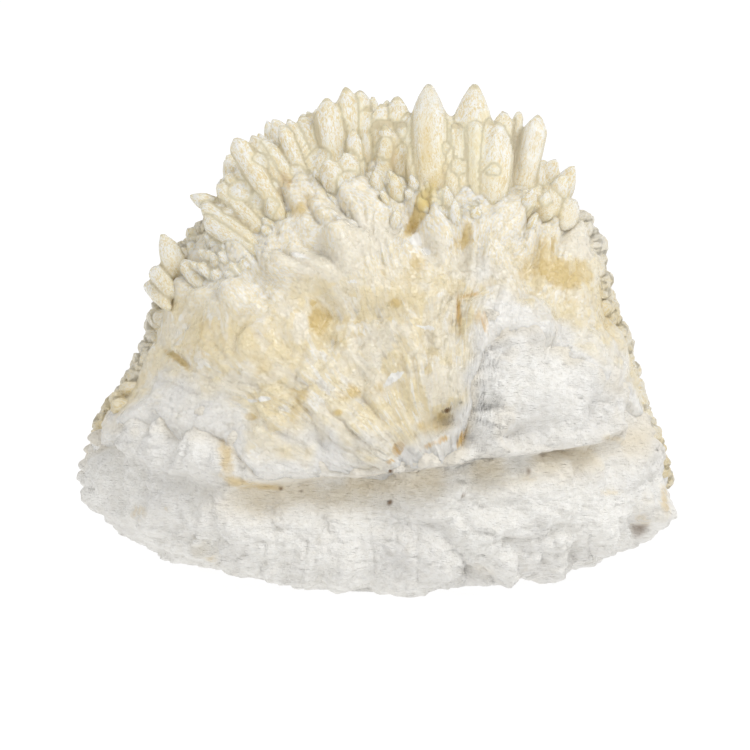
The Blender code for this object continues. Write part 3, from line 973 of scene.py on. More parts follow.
@dataclass(frozen=True)
class FloorFinish:
    """Plain white sweep that glows a little, as a lit table does."""

    white: Colour = (0.15, 0.15, 0.15)
    glow: float = 0.90

    def build(self) -> bpy.types.Material:
        """The material.

        Returns:
            What the piece is dressed in.
        """
        g = Graph("floor")
        return g.finish(g.principled({
            "Base Color": (*self.white, 1.0),
            "Roughness": 0.9,
            "Specular IOR Level": 0.0,
            "Emission Color": (1.0, 1.0, 1.0, 1.0),
            "Emission Strength": self.glow,
        }))


@dataclass
class Mantle:
    """A closed piece of the stone's form: a grid over part of it, and rings that close it inside.

    Past the border it carries on for the overlap, sunk under the other piece. Its surface is settled by a
    little, so that its relief stays about the form. Lengths are millimetres.
    """

    columns: int = 460
    rows: int = 205
    cap_rows: int = 6
    overlap: float = 6.0
    sink: float = 4.2
    settle: float = 0.9
    middle: float = 20.0

    def grid(self, edge: Array, start: Array | float, end: Array | float) -> tuple[Array, Array]:
        """Points of the form on a grid, evenly from one level to another in every column.

        Args:
            edge: The border's height in each column.
            start: The first level.
            end: The last level.

        Returns:
            Points, and their heights over the border.
        """
        direction, share = np.meshgrid(crowded_columns(self.columns), np.linspace(0.0, 1.0, self.rows))
        level = start + (end - start) * share
        points = FORM.surface(direction.ravel(), level.ravel())
        return points, points[:, 2] - np.tile(edge, self.rows)

    def shrinking(self, ring: Array) -> list[Array]:
        """Copies of a ring that draw together, step by step, towards the middle on the growth axis."""
        steps = (np.arange(1, self.cap_rows + 1) / (self.cap_rows + 1)) ** 0.8
        return [ring + ([0.0, 0.0, self.middle] - ring) * step for step in steps]

    def close(self, name: str, parts: list, marks: dict[str, Array], before: int) -> bpy.types.Object:
        """Makes the piece, with marks of nought on the points that close it.

        Args:
            name: The piece's name.
            parts: Its points: the rings in order, then the first end's and the last end's.
            marks: Marks of the grid's points.
            before: How many points come before the grid's.

        Returns:
            The piece.
        """
        whole = np.vstack(parts)
        ends = (before, len(whole) - before - self.rows * self.columns)
        padded = {key: np.pad(value, (ends,) + ((0, 0),) * (value.ndim - 1)) for key, value in marks.items()}
        return make_piece(name, whole, tube_faces(self.rows + self.cap_rows, self.columns), padded)


@dataclass
class ChalkMatrix(Mantle):
    """The chalky white matrix: the form below the border, sunk under the calcite above it."""

    @staticmethod
    def relief(points: Array) -> Array:
        """Height of the crust: billows, calmer under the ledge, and strokes that run down to the right.

        Args:
            points: Places in millimetres.

        Returns:
            Heights in millimetres.
        """
        calm = 1.0 - 0.6 * np.exp(-(((points[:, 2] - 16.0) / 5.0) ** 2)) * ease((points[:, 0] + 24.0) / 8.0)
        quiet = 0.45 + 0.55 * ease(noise(points, 14.0, 67) * 1.2 + 0.5)
        lumps = (4.4 * billows(points, 8.5, 3, 60) * quiet + 1.8 * noise(points, 4.2, 66)) * calm
        lumps += 0.5 * billows(points, 1.9, 2, 77)
        x, y, z = points.T
        turned = np.column_stack([x * 0.35 - z * 0.25, y * 0.6, z * 1.3 + x * 0.5])
        return lumps + 0.24 * noise(turned, 1.3, 71) + 0.14 * noise(turned, 0.7, 72)

    def build(self) -> list[bpy.types.Object]:
        """Makes the piece, flat on its foot, honey-stained near the border, with painted shade in honey under
        the ledge.

        Returns:
            The piece, in a list.
        """
        turn = crowded_columns(self.columns)
        edge = border_line(turn)
        points, rise = self.grid(edge, 1.0, FORM.level_of(turn, edge + self.overlap))
        fade = ease(np.hypot(points[:, 0], points[:, 1]) / 6.0 - 3.7)
        push = self.relief(points) + patch_push(points) - self.settle
        away = unit(points - GROWTH_CENTRE)
        ragged = rise + 1.6 * noise(points, 3.0, 83)
        points += away * (push * fade - self.sink * ease(ragged / self.overlap))[:, None]
        points[: self.columns, 2] = 0.0
        points[:, 2] = np.maximum(points[:, 2], 0.0)
        marks = front_marks(points)
        marks["honey"] = 0.4 * ease((ragged + 5.0) / 5.0 + 0.6 * noise(points, 4.0, 84))
        # Painted shade: honey darkening just under the ledge, where the overhang shades the chalk, added to
        # the honey mark
        xs, heights = np.array(FORM.ledge, float).T
        below = np.interp(points[:, 0], xs, heights) - points[:, 2]
        shade = np.exp(-(((below - 3.0) / 3.0) ** 2)) * ease((points[:, 0] + 32.0) / 14.0)
        shade *= FORM.front(points)
        marks["honey"] = np.maximum(marks["honey"], 0.7 * shade * ease(0.75 + 0.7 * noise(points, 5.0, 85)))
        caps = self.shrinking(points[-self.columns :])
        ends = [[0.0, 0.0, 0.0], [0.0, 0.0, self.middle]]
        piece = self.close("chalk_matrix", [points, *caps, ends], marks, 0)
        piece.data.materials.append(ChalkFinish().build())
        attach(piece, "root")
        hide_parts("white_matrix")
        return [piece]


def grain_of(points: Array) -> tuple[Array, Array]:
    """Coordinates across and along the fan's grain, in millimetres.

    Across is the angle about the fan's centre, as seen from the front and measured from straight up, times a
    middle radius. Along is the distance from it. Both wander a little with noise.

    Args:
        points: Places in millimetres.

    Returns:
        Distances across and along.
    """
    right, up = points[:, 0] - FAN_CENTRE[0], points[:, 2] - FAN_CENTRE[2]
    angle = np.arctan2(right, up) + 0.05 * noise(points, 9.0, 31)
    return angle * 36.0, np.hypot(right, up) + 1.5 * noise(points, 7.0, 32)


@dataclass
class CalciteBody(Mantle):
    """The calcite mass with its broken front: the form above the border, sunk under the matrix below it."""

    rows: int = 200
    middle: float = 17.0
    crest: float = 0.6

    @staticmethod
    def crowned(points: Array, start: float) -> Array:
        """Where the fused columns show: an easing over 7 mm from a height that is 6 mm lower on the left."""
        return ease((points[:, 2] - start + 6.0 * ease(-points[:, 0] / 10.0 - 1.0)) / 7.0)

    @classmethod
    def relief(cls, points: Array) -> Array:
        """Height of the fracture.

        Tilted plates in three sizes lie along the grain over rounded swellings. Near the top they give way to
        the ridges of fused columns, the absolute value of a noise that is stretched along the grain.

        Args:
            points: Places in millimetres.

        Returns:
            Heights in millimetres.
        """
        across, along = grain_of(points)
        plates = 1.1 * broken_plates(across, along, 6.0, 9.0, 11)
        plates += 0.45 * broken_plates(across + 3.0, along, 2.8, 4.2, 21)
        plates += 0.16 * broken_plates(across, along + 2.0, 1.3, 1.9, 31)
        soft = 0.8 * billows(points, 7.0, 3, 90)
        rough = ease(noise(points, 9.0, 95) * 1.4 + 0.65)
        fused_grain = np.column_stack([across, along * 0.12, points[:, 1] * 0.3])
        sizes = ((3.6, 3.4), (1.7, 1.6), (0.8, 0.6))
        ridges = sum(high * np.abs(noise(fused_grain, size, 101)) for size, high in sizes) - 1.2
        crown = cls.crowned(points, 52.0)
        broken = plates * (0.4 + 0.6 * rough) + soft * (1.0 - 0.5 * rough)
        return broken * (1.0 - 0.7 * crown) + ridges * crown

    def build(self) -> list[bpy.types.Object]:
        """Makes the piece: the fracture on the front, and billows on the back.

        Returns:
            The piece, in a list.
        """
        turn = crowded_columns(self.columns)
        edge = border_line(turn)
        points, rise = self.grid(edge, FORM.level_of(turn, edge - self.overlap), TOP_LEVEL)
        face = FORM.front(points)
        push = self.relief(points) + patch_push(points) - self.settle
        back = 0.9 * billows(points, 4.5, 3, 97) - 1.0
        push = push * face + back * (1.0 - face) + self.crest * ease((points[:, 2] - 58.0) / 9.0)
        away = unit(points - GROWTH_CENTRE)
        points += away * (push - self.sink * ease(-rise / self.overlap))[:, None]
        marks = front_marks(points)
        across, along = grain_of(points)
        marks["grain"] = np.column_stack([across * 1.2, along * 0.3, points[:, 1] * 0.6])
        marks["crown"] = self.crowned(points, 50.0) * face
        marks["chalk"] = ease(1.1 - rise / 7.0 + 0.5 * noise(points, 3.2, 98))
        caps = self.shrinking(points[: self.columns])[::-1]
        ends = [[0.0, 0.0, self.middle], [0.0, 0.0, FORM.summit]]
        piece = self.close("calcite_body", [*caps, points, ends], marks, self.cap_rows * self.columns)
        piece.data.materials.append(CalciteFinish().build())
        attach(piece, "root")
        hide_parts("calcite_crystals")
        return [piece]


@dataclass(frozen=True)
class Habit:
    """The shape of a crystal: six flat sides with bevelled corners, and rings up its axis.

    A ring is a share of the length, a shift in widths and a share of the width.
    """

    rings: tuple[tuple[float, float, float], ...]
    zigzag: float
    wobble: float
    bevel: float = 8.0

    @property
    def angles(self) -> Array:
        """Angles of the ring's points: two at each corner and one in the middle of each side."""
        return np.radians((np.arange(6)[:, None] * 60.0 + [-self.bevel, self.bevel, 30.0]).ravel())

    @property
    def reaches(self) -> Array:
        """Radii of the ring's points that keep the sides flat: the middle at the cosine of the half side."""
        return np.tile([1.0, 1.0, math.cos(math.radians(30.0 - self.bevel))], 6)


COLUMN = Habit(
    ((0.0, 0.0, 0.3), (0.2, 0.0, 0.8), (0.6, -0.5, 1.0), (1.0, -0.95, 1.0), (1.0, -0.62, 0.80),
     (1.0, -0.32, 0.52), (1.0, -0.10, 0.25), (1.0, -0.02, 0.10)),
    0.07,
    0.02,
)
KNOB = Habit(((0.0, 0.0, 0.92), (1.0, -0.48, 1.0), (1.0, -0.20, 0.70), (1.0, -0.04, 0.28)), 0.1, 0.03, 9.0)


@dataclass
class Spears:
    """Axes of a set of crystals: where they start and end, and how wide, turned and coloured they are."""

    roots: Array
    tips: Array
    widths: Array
    rolls: Array
    tones: Array
    clears: Array
    batch: ClassVar[int] = 8192

    @staticmethod
    def joined(sets: "Sequence[Spears]") -> "Spears":
        """Several sets as one."""
        names = [field.name for field in fields(Spears)]
        return Spears(*(np.concatenate([getattr(part, name) for part in sets]) for name in names))

    def frames(self) -> tuple[Array, Array, Array]:
        """Each crystal's axis and two directions square to it.

        Returns:
            Three vectors of length 1 for each crystal.
        """
        axis = unit(self.tips - self.roots)
        side = unit(np.cross(axis, [0.0, 1.0, 0.0]))
        return axis, side, np.cross(axis, side)

    def marks(self, points: Array, rim: float) -> dict[str, Array]:
        """Marks of points on the crystals, each from the crystal whose axis is nearest for its width.

        Args:
            points: Places in millimetres.
            rim: Length of the clear tip, in widths.

        Returns:
            Tone, clearness, rim, share of the length, nearness to a crease, and the place across and along.
        """
        axis, side, other = self.frames()
        length = np.linalg.norm(self.tips - self.roots, axis=1)
        nearest = np.zeros(len(points), int)
        crease = np.zeros(len(points))
        for start in range(0, len(points), self.batch):
            rows = slice(start, start + self.batch)
            part = points[rows]
            reach = part @ axis.T - (self.roots * axis).sum(axis=1)
            squared = (part**2).sum(axis=1)[:, None] - 2.0 * part @ self.roots.T + (self.roots**2).sum(axis=1)
            along = np.clip(reach, 0.0, length * 0.9)
            gap = (squared - 2.0 * along * reach + along**2) / self.widths**2
            nearest[rows] = gap.argmin(axis=1)
            closest = np.sqrt(np.maximum(np.partition(gap, 1, axis=1)[:, :2], 0.0))
            # Crease: a second crystal nearly as near as the first; the finish paints a warm glow there
            crease[rows] = ease(1.0 - (closest[:, 1] - closest[:, 0]) / 0.22)
        away = points - self.roots[nearest]
        height = (away * axis[nearest]).sum(axis=1)
        right, up = (away * side[nearest]).sum(axis=1), (away * other[nearest]).sum(axis=1)
        to_tip = (length[nearest] - height) / self.widths[nearest]
        # The side edges join the clear tip in the rim, where the finish's honey is partly painted shade
        edge = ease((np.abs(right) / self.widths[nearest] - 0.3) / 0.16)
        grain = np.column_stack([right * 1.9, up * 1.9, height * 0.5]) + (self.rolls[nearest] * 37.0)[:, None]
        return {
            "tone": self.tones[nearest],
            "clear": self.clears[nearest],
            "rim": np.maximum(ease(1.35 - to_tip / rim), edge),
            "root": height / length[nearest],
            "crease": crease,
            "grain": grain,
        }


def crystal_meshes(spears: Spears, habit: Habit, seed: int) -> tuple[Array, Faces]:
    """Many crystals at once: rings of points round each axis, at the habit's places and widths.

    Args:
        spears: Their axes.
        habit: Their shape.
        seed: For their small irregularities.

    Returns:
        Points and faces.
    """
    random = np.random.default_rng(seed)
    share, shift, girth = np.array(habit.rings).T
    count, rings, sides = len(spears.roots), len(share), len(habit.angles)
    length = np.linalg.norm(spears.tips - spears.roots, axis=1)
    axis, side, other = spears.frames()
    blunt = random.uniform(0.7, 1.25, count)
    place = share[None] * length[:, None] + shift[None] * (spears.widths * blunt)[:, None]
    place = np.maximum(place, 0.03 * np.arange(rings)[None] * length[:, None])
    swing = np.repeat(np.where(np.arange(6) % 2 == 0, 1.0, -1.0), 3)
    swing[2::3] = 0.0
    zig = habit.zigzag * np.where(share >= 1.0, 1.0, 0.0) * girth
    height = place[..., None] + zig[None, :, None] * swing[None, None] * spears.widths[:, None, None]
    uneven = np.repeat(1.0 + 0.07 * random.standard_normal((count, 6)), 3, axis=1)
    reach = habit.reaches[None] * (0.5 * uneven + 0.5 * np.roll(uneven, -1, axis=1))
    angle = habit.angles[None] + spears.rolls[:, None]
    cross = np.cos(angle)[..., None] * side[:, None] + np.sin(angle)[..., None] * other[:, None]
    size = 0.5 * spears.widths[:, None, None] * girth[None, :, None] * reach[:, None]
    size = size * (1.0 + habit.wobble * random.standard_normal((count, rings, sides)))
    body = spears.roots[:, None, None] + axis[:, None, None] * height[..., None]
    body = (body + cross[:, None] * size[..., None]).reshape(count, -1, 3)
    points = np.concatenate([body, np.stack([spears.roots, spears.tips], axis=1)], axis=1)
    starts = (np.arange(count) * points.shape[1])[:, None, None]
    return points.reshape(-1, 3), (tube_faces(rings, sides)[None] + starts).reshape(-1, 3)


def fused(points: Array, faces: Faces, step: float) -> tuple[Array, Faces]:
    """One closed skin round overlapping closed meshes, by a voxel remesh.

    Args:
        points: Places in millimetres.
        faces: Three point numbers for each face.
        step: Size of a voxel in millimetres.

    Returns:
        The skin's points and its faces as triangles.
    """
    rough = make_piece("rough", points, faces, {})
    remesh = rough.modifiers.new("skin", "REMESH")
    remesh.mode = "VOXEL"
    remesh.voxel_size = step * MM
    mesh = rough.evaluated_get(bpy.context.evaluated_depsgraph_get()).data
    mesh.calc_loop_triangles()
    skin = np.zeros(len(mesh.vertices) * 3, np.float32)
    mesh.vertices.foreach_get("co", skin)
    corners = np.zeros(len(mesh.loop_triangles) * 3, np.int32)
    mesh.loop_triangles.foreach_get("vertices", corners)
    rough_mesh = rough.data
    bpy.data.objects.remove(rough)
    bpy.data.meshes.remove(rough_mesh)
    return skin.reshape(-1, 3).astype(float) / MM + BOX_CENTRE, corners.reshape(-1, 3).astype(np.int64)


# The crown's columns as the camera sees them, in picture steps: tip across and down, root across and down,
# and width, then the tip's depth in millimetres (none where it lies on the front) and how honey it is
CROWN = (
    (428, 86, 431, 190, 36, -5, 0.15), (474, 86, 471, 190, 43, -4, 0.4), (503, 113, 491, 200, 21, -3, 0.3),
    (518, 112, 507, 195, 10, -2, 0.6), (537, 117, 519, 198, 24, -5, 0.05),
    (497, 124, 489, 206, 34, -9, 0.1), (474, 122, 474, 200, 17, -10, 0.0),
    (457, 130, 462, 196, 23, -9, 0.3), (443, 116, 452, 196, 21, -7, 0.35),
    (424, 120, 434, 180, 18, -9, 0.95), (410, 116, 418, 187, 22, -6, 0.3),
    (402, 127, 407, 170, 19, -8, 0.1), (397, 98, 396, 165, 29, -4, 0.45), (387, 101, 384, 160, 17, -2, 0.6),
    (384, 127, 391, 168, 27, -9, 0.8), (373, 97, 374, 150, 15, 0, 0.3), (381, 106, 382, 168, 22, -5, 0.4),
    (367, 112, 368, 168, 18, -5, 0.4), (346, 89, 350, 165, 27, -4, 0.55), (360, 92, 361, 165, 21, -3, 0.55),
    (353, 131, 357, 180, 16, -10, 0.75), (327, 100, 339, 175, 26, -5, 0.4),
    (317, 109, 333, 168, 15, -2, 0.6), (308, 113, 322, 165, 11, -1, 0.6),
    (301, 117, 325, 176, 25, -3, 0.65), (288, 121, 318, 182, 19, -4, 0.45),
    (281, 127, 308, 187, 15, -6, 0.4), (264, 141, 300, 196, 18, -5, 0.45),
    (252, 137, 292, 201, 20, -4, 0.45), (236, 140, 282, 217, 20, -5, 0.5),
    (238, 164, 272, 217, 16, -6, 0.8), (228, 175, 262, 222, 14, -6, 0.0), (218, 186, 258, 227, 16, -7, 0.5),
    (191, 197, 236, 214, 16, -5, 0.0), (203, 206, 250, 240, 15, -8, 0.25),
    (206, 221, 252, 252, 18, -10, 0.3), (163, 234, 178, 266, 24, -4, 0.2),
    (154, 268, 171, 288, 17, -5, 0.25), (150, 283, 167, 303, 16, -4, 0.25),
    (245, 178, 284, 226, 13, None, 0.35), (257, 163, 290, 224, 15, None, 0.4),
    (270, 154, 298, 216, 14, None, 0.25), (284, 148, 306, 207, 15, None, 0.45),
    (298, 138, 318, 192, 15, None, 0.35), (312, 140, 331, 188, 15, None, 0.3),
    (329, 134, 342, 188, 15, None, 0.35), (343, 140, 351, 188, 13, None, 0.4),
    (366, 133, 371, 192, 18, None, 0.4), (378, 158, 383, 204, 15, None, 0.3),
    (326, 160, 338, 196, 12, None, 0.65), (300, 171, 374, 212, 24, None, 0.2),
    (318, 167, 386, 200, 20, None, 0.15), (298, 194, 370, 214, 15, None, 0.35),
    (283, 180, 299, 213, 13, None, 0.0), (222, 212, 263, 243, 14, None, 0.25),
    (229, 234, 256, 256, 15, None, 0.25), (206, 240, 246, 258, 16, None, 0.25),
    (184, 262, 206, 290, 15, None, 0.5), (372, 170, 414, 240, 38, None, 0.05),
    (432, 190, 441, 238, 13, None, 0.1), (445, 168, 452, 216, 15, None, 0.25),
    (456, 172, 459, 202, 12, None, 0.1), (421, 180, 428, 212, 14, None, 0.25),
    (511, 178, 506, 226, 17, None, 0.1), (500, 192, 498, 224, 12, None, 0.2),
    (517, 198, 512, 230, 12, None, 0.2), (530, 182, 528, 204, 22, -3, 0.35),
    (550, 188, 546, 212, 23, -3, 0.3), (569, 201, 563, 222, 23, -3, 0.15),
)


def placed_in(view: Array, depth: Array) -> Array:
    """Places in millimetres from picture steps across and down and a depth along Y.

    Args:
        view: Steps across and down.
        depth: Places along Y, in millimetres.

    Returns:
        Places in millimetres.
    """
    height = (SIGHT_MIDDLE[1] - view[:, 1]) * SIGHT_STEP + SIGHT_FOOT
    height = (height - depth * math.sin(SIGHT_ELEVATION)) / math.cos(SIGHT_ELEVATION)
    return np.column_stack([(view[:, 0] - SIGHT_MIDDLE[0]) * SIGHT_STEP, depth, height])


def front_depth(view: Array) -> Array:
    """Depth of the form's front where the camera sees it: that of the nearest of a grid of points.

    Args:
        view: Steps across and down.

    Returns:
        Places along Y, in millimetres.
    """
    direction, level = np.meshgrid(np.radians(np.linspace(182.0, 358.0, 177)), np.linspace(2.0, 13.9, 160))
    points = FORM.surface(direction.ravel(), level.ravel())
    seen = sight(points)
    distance = np.linalg.norm(view[:, None] - seen[None], axis=2)
    return points[distance.argmin(axis=1), 1]


def scattered(
    count: int,
    levels: tuple[float, float],
    allowed: Callable[[Array, Array, Array], Array],
    taken: Array,
    seed: int,
) -> tuple[Array, Array, Array]:
    """Spreads places over the form, each the farthest from all before it out of a few tries.

    Args:
        count: How many.
        levels: Range along the meridians.
        allowed: Says which points may be used, from direction, level and point.
        taken: Places already in use.
        seed: Which spread.

    Returns:
        Directions, levels and points.
    """
    random = np.random.default_rng(seed)
    tries = 24
    direction = random.uniform(0.0, 2.0 * math.pi, (count, tries))
    level = random.uniform(*levels, (count, tries))
    points = FORM.surface(direction.ravel(), level.ravel()).reshape(count, tries, 3)
    good = allowed(direction.ravel(), level.ravel(), points.reshape(-1, 3)).reshape(count, tries)
    placed = np.vstack([taken, np.zeros((count, 3)) + 1e3])
    chosen = np.zeros(count, int)
    for index in range(count):
        used = placed[: len(taken) + index]
        distance = np.linalg.norm(points[index][:, None] - used[None], axis=2).min(axis=1)
        distance[~good[index]] = -1.0
        chosen[index] = distance.argmax()
        placed[len(taken) + index] = points[index, chosen[index]]
    rows = np.arange(count)
    keep = good[rows, chosen]
    return direction[rows, chosen][keep], level[rows, chosen][keep], points[rows, chosen][keep]


def joined_meshes(parts: Sequence[tuple[Array, Faces]]) -> tuple[Array, Faces]:
    """Points and faces of several meshes as one.

    Args:
        parts: Points and faces of each.

    Returns:
        Points and faces.
    """
    starts = np.cumsum([0] + [len(points) for points, _ in parts[:-1]])
    faces = [faces + start for (_, faces), start in zip(parts, starts)]
    return np.vstack([points for points, _ in parts]), np.vstack(faces)


def finish_crystals(
    name: str,
    skin: tuple[Array, Faces],
    spears: Spears,
    finish: CrystalFinish,
    rim: float = 0.22,
    crease: float = 180.0,
) -> bpy.types.Object:
    """Makes one piece of a set of crystals and dresses it.

    Args:
        name: The piece's name.
        skin: Its points and faces.
        spears: The crystals' axes.
        finish: What it is dressed in.
        rim: Length of the clear tips, in widths.
        crease: Angle in degrees above which an edge stays sharp.

    Returns:
        The piece.
    """
    points, faces = skin
    piece = make_piece(name, points, faces, spears.marks(points, rim) | front_marks(points), crease)
    piece.data.materials.append(finish.build())
    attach(piece, "root")
    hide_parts("calcite_crystals")
    return piece


@dataclass
class Crown:
    """The crown of pointed columns that fans out of the top, and narrower ones behind and before it."""

    behind: int = 120
    before: int = 190
    tallest: float = 76.0
    heights: tuple[float, float] = (3.0, 9.0)
    widths: tuple[float, float] = (2.8, 5.0)
    lying_lengths: tuple[float, float] = (7.0, 14.0)
    lying_widths: tuple[float, float] = (1.5, 3.2)
    rooted: float = 8.0
    voxel: float = 0.45
    seed: int = 5

    def placed(self) -> Spears:
        """The listed columns: roots a little inside the front, and tips at their depth or on it.

        Returns:
            Their axes, with clear rims for those that stand free.
        """
        table = np.array([[math.nan if value is None else value for value in row] for row in CROWN])
        tip_view, root_view, (steps, depth, tone) = table[:, :2], table[:, 2:4], table[:, 4:].T
        width = steps * SIGHT_STEP
        free = ~np.isnan(depth)
        root_depth = front_depth(root_view) + np.where(free, 0.3, 1.3) * width
        tip_depth = np.where(free, depth, front_depth(tip_view) - 0.25 * width)
        roots, tips = placed_in(root_view, root_depth), placed_in(tip_view, tip_depth)
        roots -= unit(tips - roots) * np.where(free, 3.0, 2.0)[:, None]
        rolls = np.arange(len(table)) * 2.4
        return Spears(roots, tips, width * 1.15, rolls, tone, free * 1.0)

    def rising(self, taken: Array) -> Spears:
        """Narrower columns that stand behind the placed ones.

        Args:
            taken: Where the placed ones end.

        Returns:
            Their axes.
        """
        random = np.random.default_rng(self.seed)

        def allowed(direction: Array, level: Array, points: Array) -> Array:
            """The summit and the back of it."""
            return (points[:, 2] > 61.0 + 3.0 * noise(points, 7.0, 94)) & (points[:, 1] > -15.0)

        _, _, points = scattered(self.behind, (11.0, 13.9), allowed, taken, self.seed)
        count = len(points)
        axis = unit(unit(points - GROWTH_CENTRE) + random.normal(0.0, 0.08, (count, 3)) + [0.0, 0.0, 0.2])
        height = random.uniform(*self.heights, count) * ease((points[:, 2] - 55.0) / 10.0)
        tips = points + axis * (height * (1.0 - 0.4 * FORM.front(points)))[:, None]
        tips[:, 2] = np.minimum(tips[:, 2], self.tallest)
        width = random.uniform(*self.widths, count)
        roll, tone = random.uniform(0.0, 6.0, count), random.uniform(0.1, 0.7, count)
        return Spears(points - axis * self.rooted, tips, width, roll, tone, np.zeros(count))

    def along(self, placed: Spears) -> Spears:
        """Columns half sunk in the front, each in line with the placed ones, the near ones counting most.

        Args:
            placed: The placed ones.

        Returns:
            Their axes.
        """
        random = np.random.default_rng(self.seed + 1)

        def allowed(direction: Array, level: Array, points: Array) -> Array:
            """A band below the summit, which hangs lower on the left."""
            low = 60.0 - 9.0 * ease(-(points[:, 0] + 6.0) / 14.0) - 3.0 * ease((points[:, 0] - 12.0) / 8.0)
            return (FORM.front(points) > 0.2) & (points[:, 2] > low) & (points[:, 0] < 27.0)

        nowhere = np.zeros((1, 3))
        direction, level, points = scattered(self.before, (9.0, 13.9), allowed, nowhere, self.seed + 1)
        count = len(points)
        normal = FORM.normals(direction, level)
        middles = sight(0.5 * (placed.roots + placed.tips))
        distance = np.linalg.norm(sight(points)[:, None] - middles[None], axis=2)
        weight = np.exp(-((distance / 26.0) ** 2)) + 1e-9
        axis = unit(weight @ unit(placed.tips - placed.roots))
        level_axis = axis - normal * (axis * normal).sum(axis=1)[:, None] * 0.8
        axis = unit(level_axis + random.normal(0.0, 0.05, (count, 3)))
        width = random.uniform(*self.lying_widths, count)
        length = random.uniform(*self.lying_lengths, count)
        roll, tone = random.uniform(0.0, 6.0, count), random.uniform(0.0, 0.8, count)
        middle = points + normal * (0.7 - 0.3 * width)[:, None]
        roots = middle - axis * (0.5 * length)[:, None] - normal * (3.2 * width)[:, None]
        tips = middle + axis * (0.4 * length)[:, None]
        return Spears(roots, tips, width, roll, tone, np.zeros(count))

    def build(self) -> list[bpy.types.Object]:
        """Makes the standing columns as one piece and those along the front as another.

        Returns:
            Both pieces.
        """
        placed = self.placed()
        sets = (placed, self.rising(placed.tips))
        parts = [crystal_meshes(spears, COLUMN, self.seed + index) for index, spears in enumerate(sets)]
        skin = fused(*joined_meshes(parts), self.voxel)
        lying = self.along(placed)
        front = fused(*crystal_meshes(lying, COLUMN, self.seed + 2), self.voxel)
        return [
            finish_crystals("crown", skin, Spears.joined(sets), CrystalFinish("crown_calcite", 0.6)),
            finish_crystals("crown_front", front, lying, CrystalFinish("crown_front_calcite", 0.6)),
        ]


@dataclass
class Druse:
    """Small crystals all over the flanks and the back."""

    large: int = 110
    small: int = 1000
    large_widths: tuple[float, float] = (3.5, 6.0)
    small_widths: tuple[float, float] = (1.8, 3.6)
    large_reaches: tuple[float, float] = (0.2, 0.34)
    small_reaches: tuple[float, float] = (0.3, 0.55)
    rooted: float = 4.0
    settle: float = 0.9
    seed: int = 11

    @staticmethod
    def allowed(direction: Array, level: Array, points: Array) -> Array:
        """Above the border, off the broken face and below the crown.

        Args:
            direction: Angles about the axis, in radians.
            level: Places along the meridians; not used.
            points: Places in millimetres.

        Returns:
            Which of them may carry a crystal.
        """
        degrees = np.degrees(direction) % 360.0
        wander = 9.0 * noise(points, 7.0, 92)
        on_face = (degrees > 190.0 + wander) & (degrees < 350.0 + wander)
        low = FORM.border_height(direction) + 1.0 + 2.5 * noise(points, 6.0, 93)
        return ~on_face & (points[:, 2] > low) & (points[:, 2] < 62.0 + 3.0 * noise(points, 7.0, 94))

    def build(self) -> list[bpy.types.Object]:
        """Makes the piece: larger knobs first, then smaller ones between them.

        Returns:
            The piece, in a list.
        """
        parts, sets = [], []
        taken = np.zeros((1, 3))
        for count, widths, reaches, seed in (
            (self.large, self.large_widths, self.large_reaches, self.seed),
            (self.small, self.small_widths, self.small_reaches, self.seed + 1),
        ):
            random = np.random.default_rng(seed)
            _, _, points = scattered(count, (5.2, 12.8), self.allowed, taken, seed)
            found = len(points)
            axis = unit(unit(points - GROWTH_CENTRE) + random.normal(0.0, 0.22, (found, 3)))
            width = random.uniform(*widths, found)
            out = width * random.uniform(*reaches, found) - self.settle
            roots, tips = points - axis * self.rooted, points + axis * out[:, None]
            roll, tone = random.uniform(0.0, 3.0, found), random.uniform(0.0, 0.6, found)
            spears = Spears(roots, tips, width, roll, tone, np.full(found, 0.4))
            parts.append(crystal_meshes(spears, KNOB, seed + 5))
            sets.append(spears)
            taken = np.vstack([taken, points])
        finish = CrystalFinish("druse_calcite", 0.0, pale=(0.95, 0.89, 0.74), honey=(0.92, 0.84, 0.63))
        return [finish_crystals("druse", joined_meshes(parts), Spears.joined(sets), finish, 0.4, 22.0)]


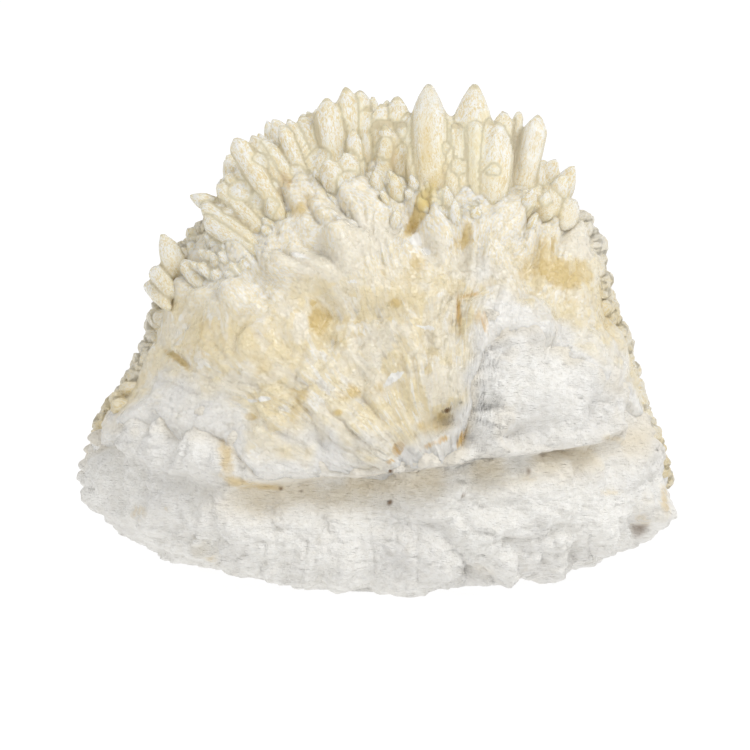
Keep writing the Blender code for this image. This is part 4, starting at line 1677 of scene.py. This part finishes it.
@dataclass
class Studio:
    """Pale floor, soft light and the camera."""

    distance: float = 1.6
    sensor: float = 36.0
    picture: float = 750.0
    floor_reach: float = 6.0
    floor_drop: float = 0.0002
    key_place: tuple[float, float, float] = (0.5, -0.5, 0.9)
    key_aim: tuple[float, float, float] = (0.0, 0.0, 0.035)
    key_size: float = 0.4
    key_power: float = 4.8
    sky: float = 0.78

    def build(self) -> None:
        """Sets the stage."""
        mesh = bpy.data.meshes.new("floor")
        signs = ((-1, -1), (1, -1), (1, 1), (-1, 1))
        corners = [(x * self.floor_reach, y * self.floor_reach, -self.floor_drop) for x, y in signs]
        mesh.from_pydata(corners, [], [(0, 1, 2, 3)])
        floor = bpy.data.objects.new("floor", mesh)
        bpy.context.scene.collection.objects.link(floor)
        floor.data.materials.append(FloorFinish().build())
        world = bpy.data.worlds.new("studio")
        world.use_nodes = True
        world.node_tree.nodes["Background"].inputs["Color"].default_value = (1.0, 1.0, 1.0, 1.0)
        world.node_tree.nodes["Background"].inputs["Strength"].default_value = self.sky
        bpy.context.scene.world = world
        bpy.context.scene.view_settings.view_transform = "Standard"
        paths = bpy.context.scene.cycles
        paths.max_bounces = paths.transmission_bounces = 24
        paths.glossy_bounces = 16
        paths.diffuse_bounces = 8
        self.softbox()
        self.camera()

    def softbox(self) -> None:
        """A square area light, up to the right, that faces the stone's middle."""
        light = bpy.data.lights.new("key", "AREA")
        light.size = self.key_size
        light.energy = self.key_power
        lamp = bpy.data.objects.new("key", light)
        bpy.context.scene.collection.objects.link(lamp)
        lamp.location = self.key_place
        x, y, z = np.array(self.key_aim) - np.array(self.key_place)
        lamp.rotation_euler = (math.atan2(math.hypot(x, y), -z), 0.0, math.atan2(-x, y))

    def camera(self) -> None:
        """The camera, at the photograph's elevation, framed so that the picture's step matches SIGHT_STEP."""
        data = bpy.data.cameras.new("camera")
        data.sensor_width = self.sensor
        data.lens = self.distance / (self.picture * SIGHT_STEP * MM) * self.sensor
        data.clip_end = 30.0
        camera = bpy.data.objects.new("camera", data)
        bpy.context.scene.collection.objects.link(camera)
        rise = (SIGHT_FOOT + (SIGHT_MIDDLE[1] - self.picture / 2.0) * SIGHT_STEP) * MM
        up = np.array([0.0, math.sin(SIGHT_ELEVATION), math.cos(SIGHT_ELEVATION)])
        back = np.array([0.0, -math.cos(SIGHT_ELEVATION), math.sin(SIGHT_ELEVATION)])
        camera.location = up * rise + back * self.distance - BOX_CENTRE * MM
        camera.rotation_euler = (math.pi / 2.0 - SIGHT_ELEVATION, 0.0, 0.0)
        bpy.context.scene.camera = camera


def main() -> None:
    """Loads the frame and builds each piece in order."""
    logging.basicConfig(level=logging.INFO, format="%(message)s")
    log = logging.getLogger("stone")
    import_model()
    for sub_assembly in (ChalkMatrix(), CalciteBody(), Crown(), Druse()):
        for piece in sub_assembly.build():
            log.info("%s: %d faces", piece.name, len(piece.data.polygons))
    Studio().build()


if __name__ == "__main__":
    main()
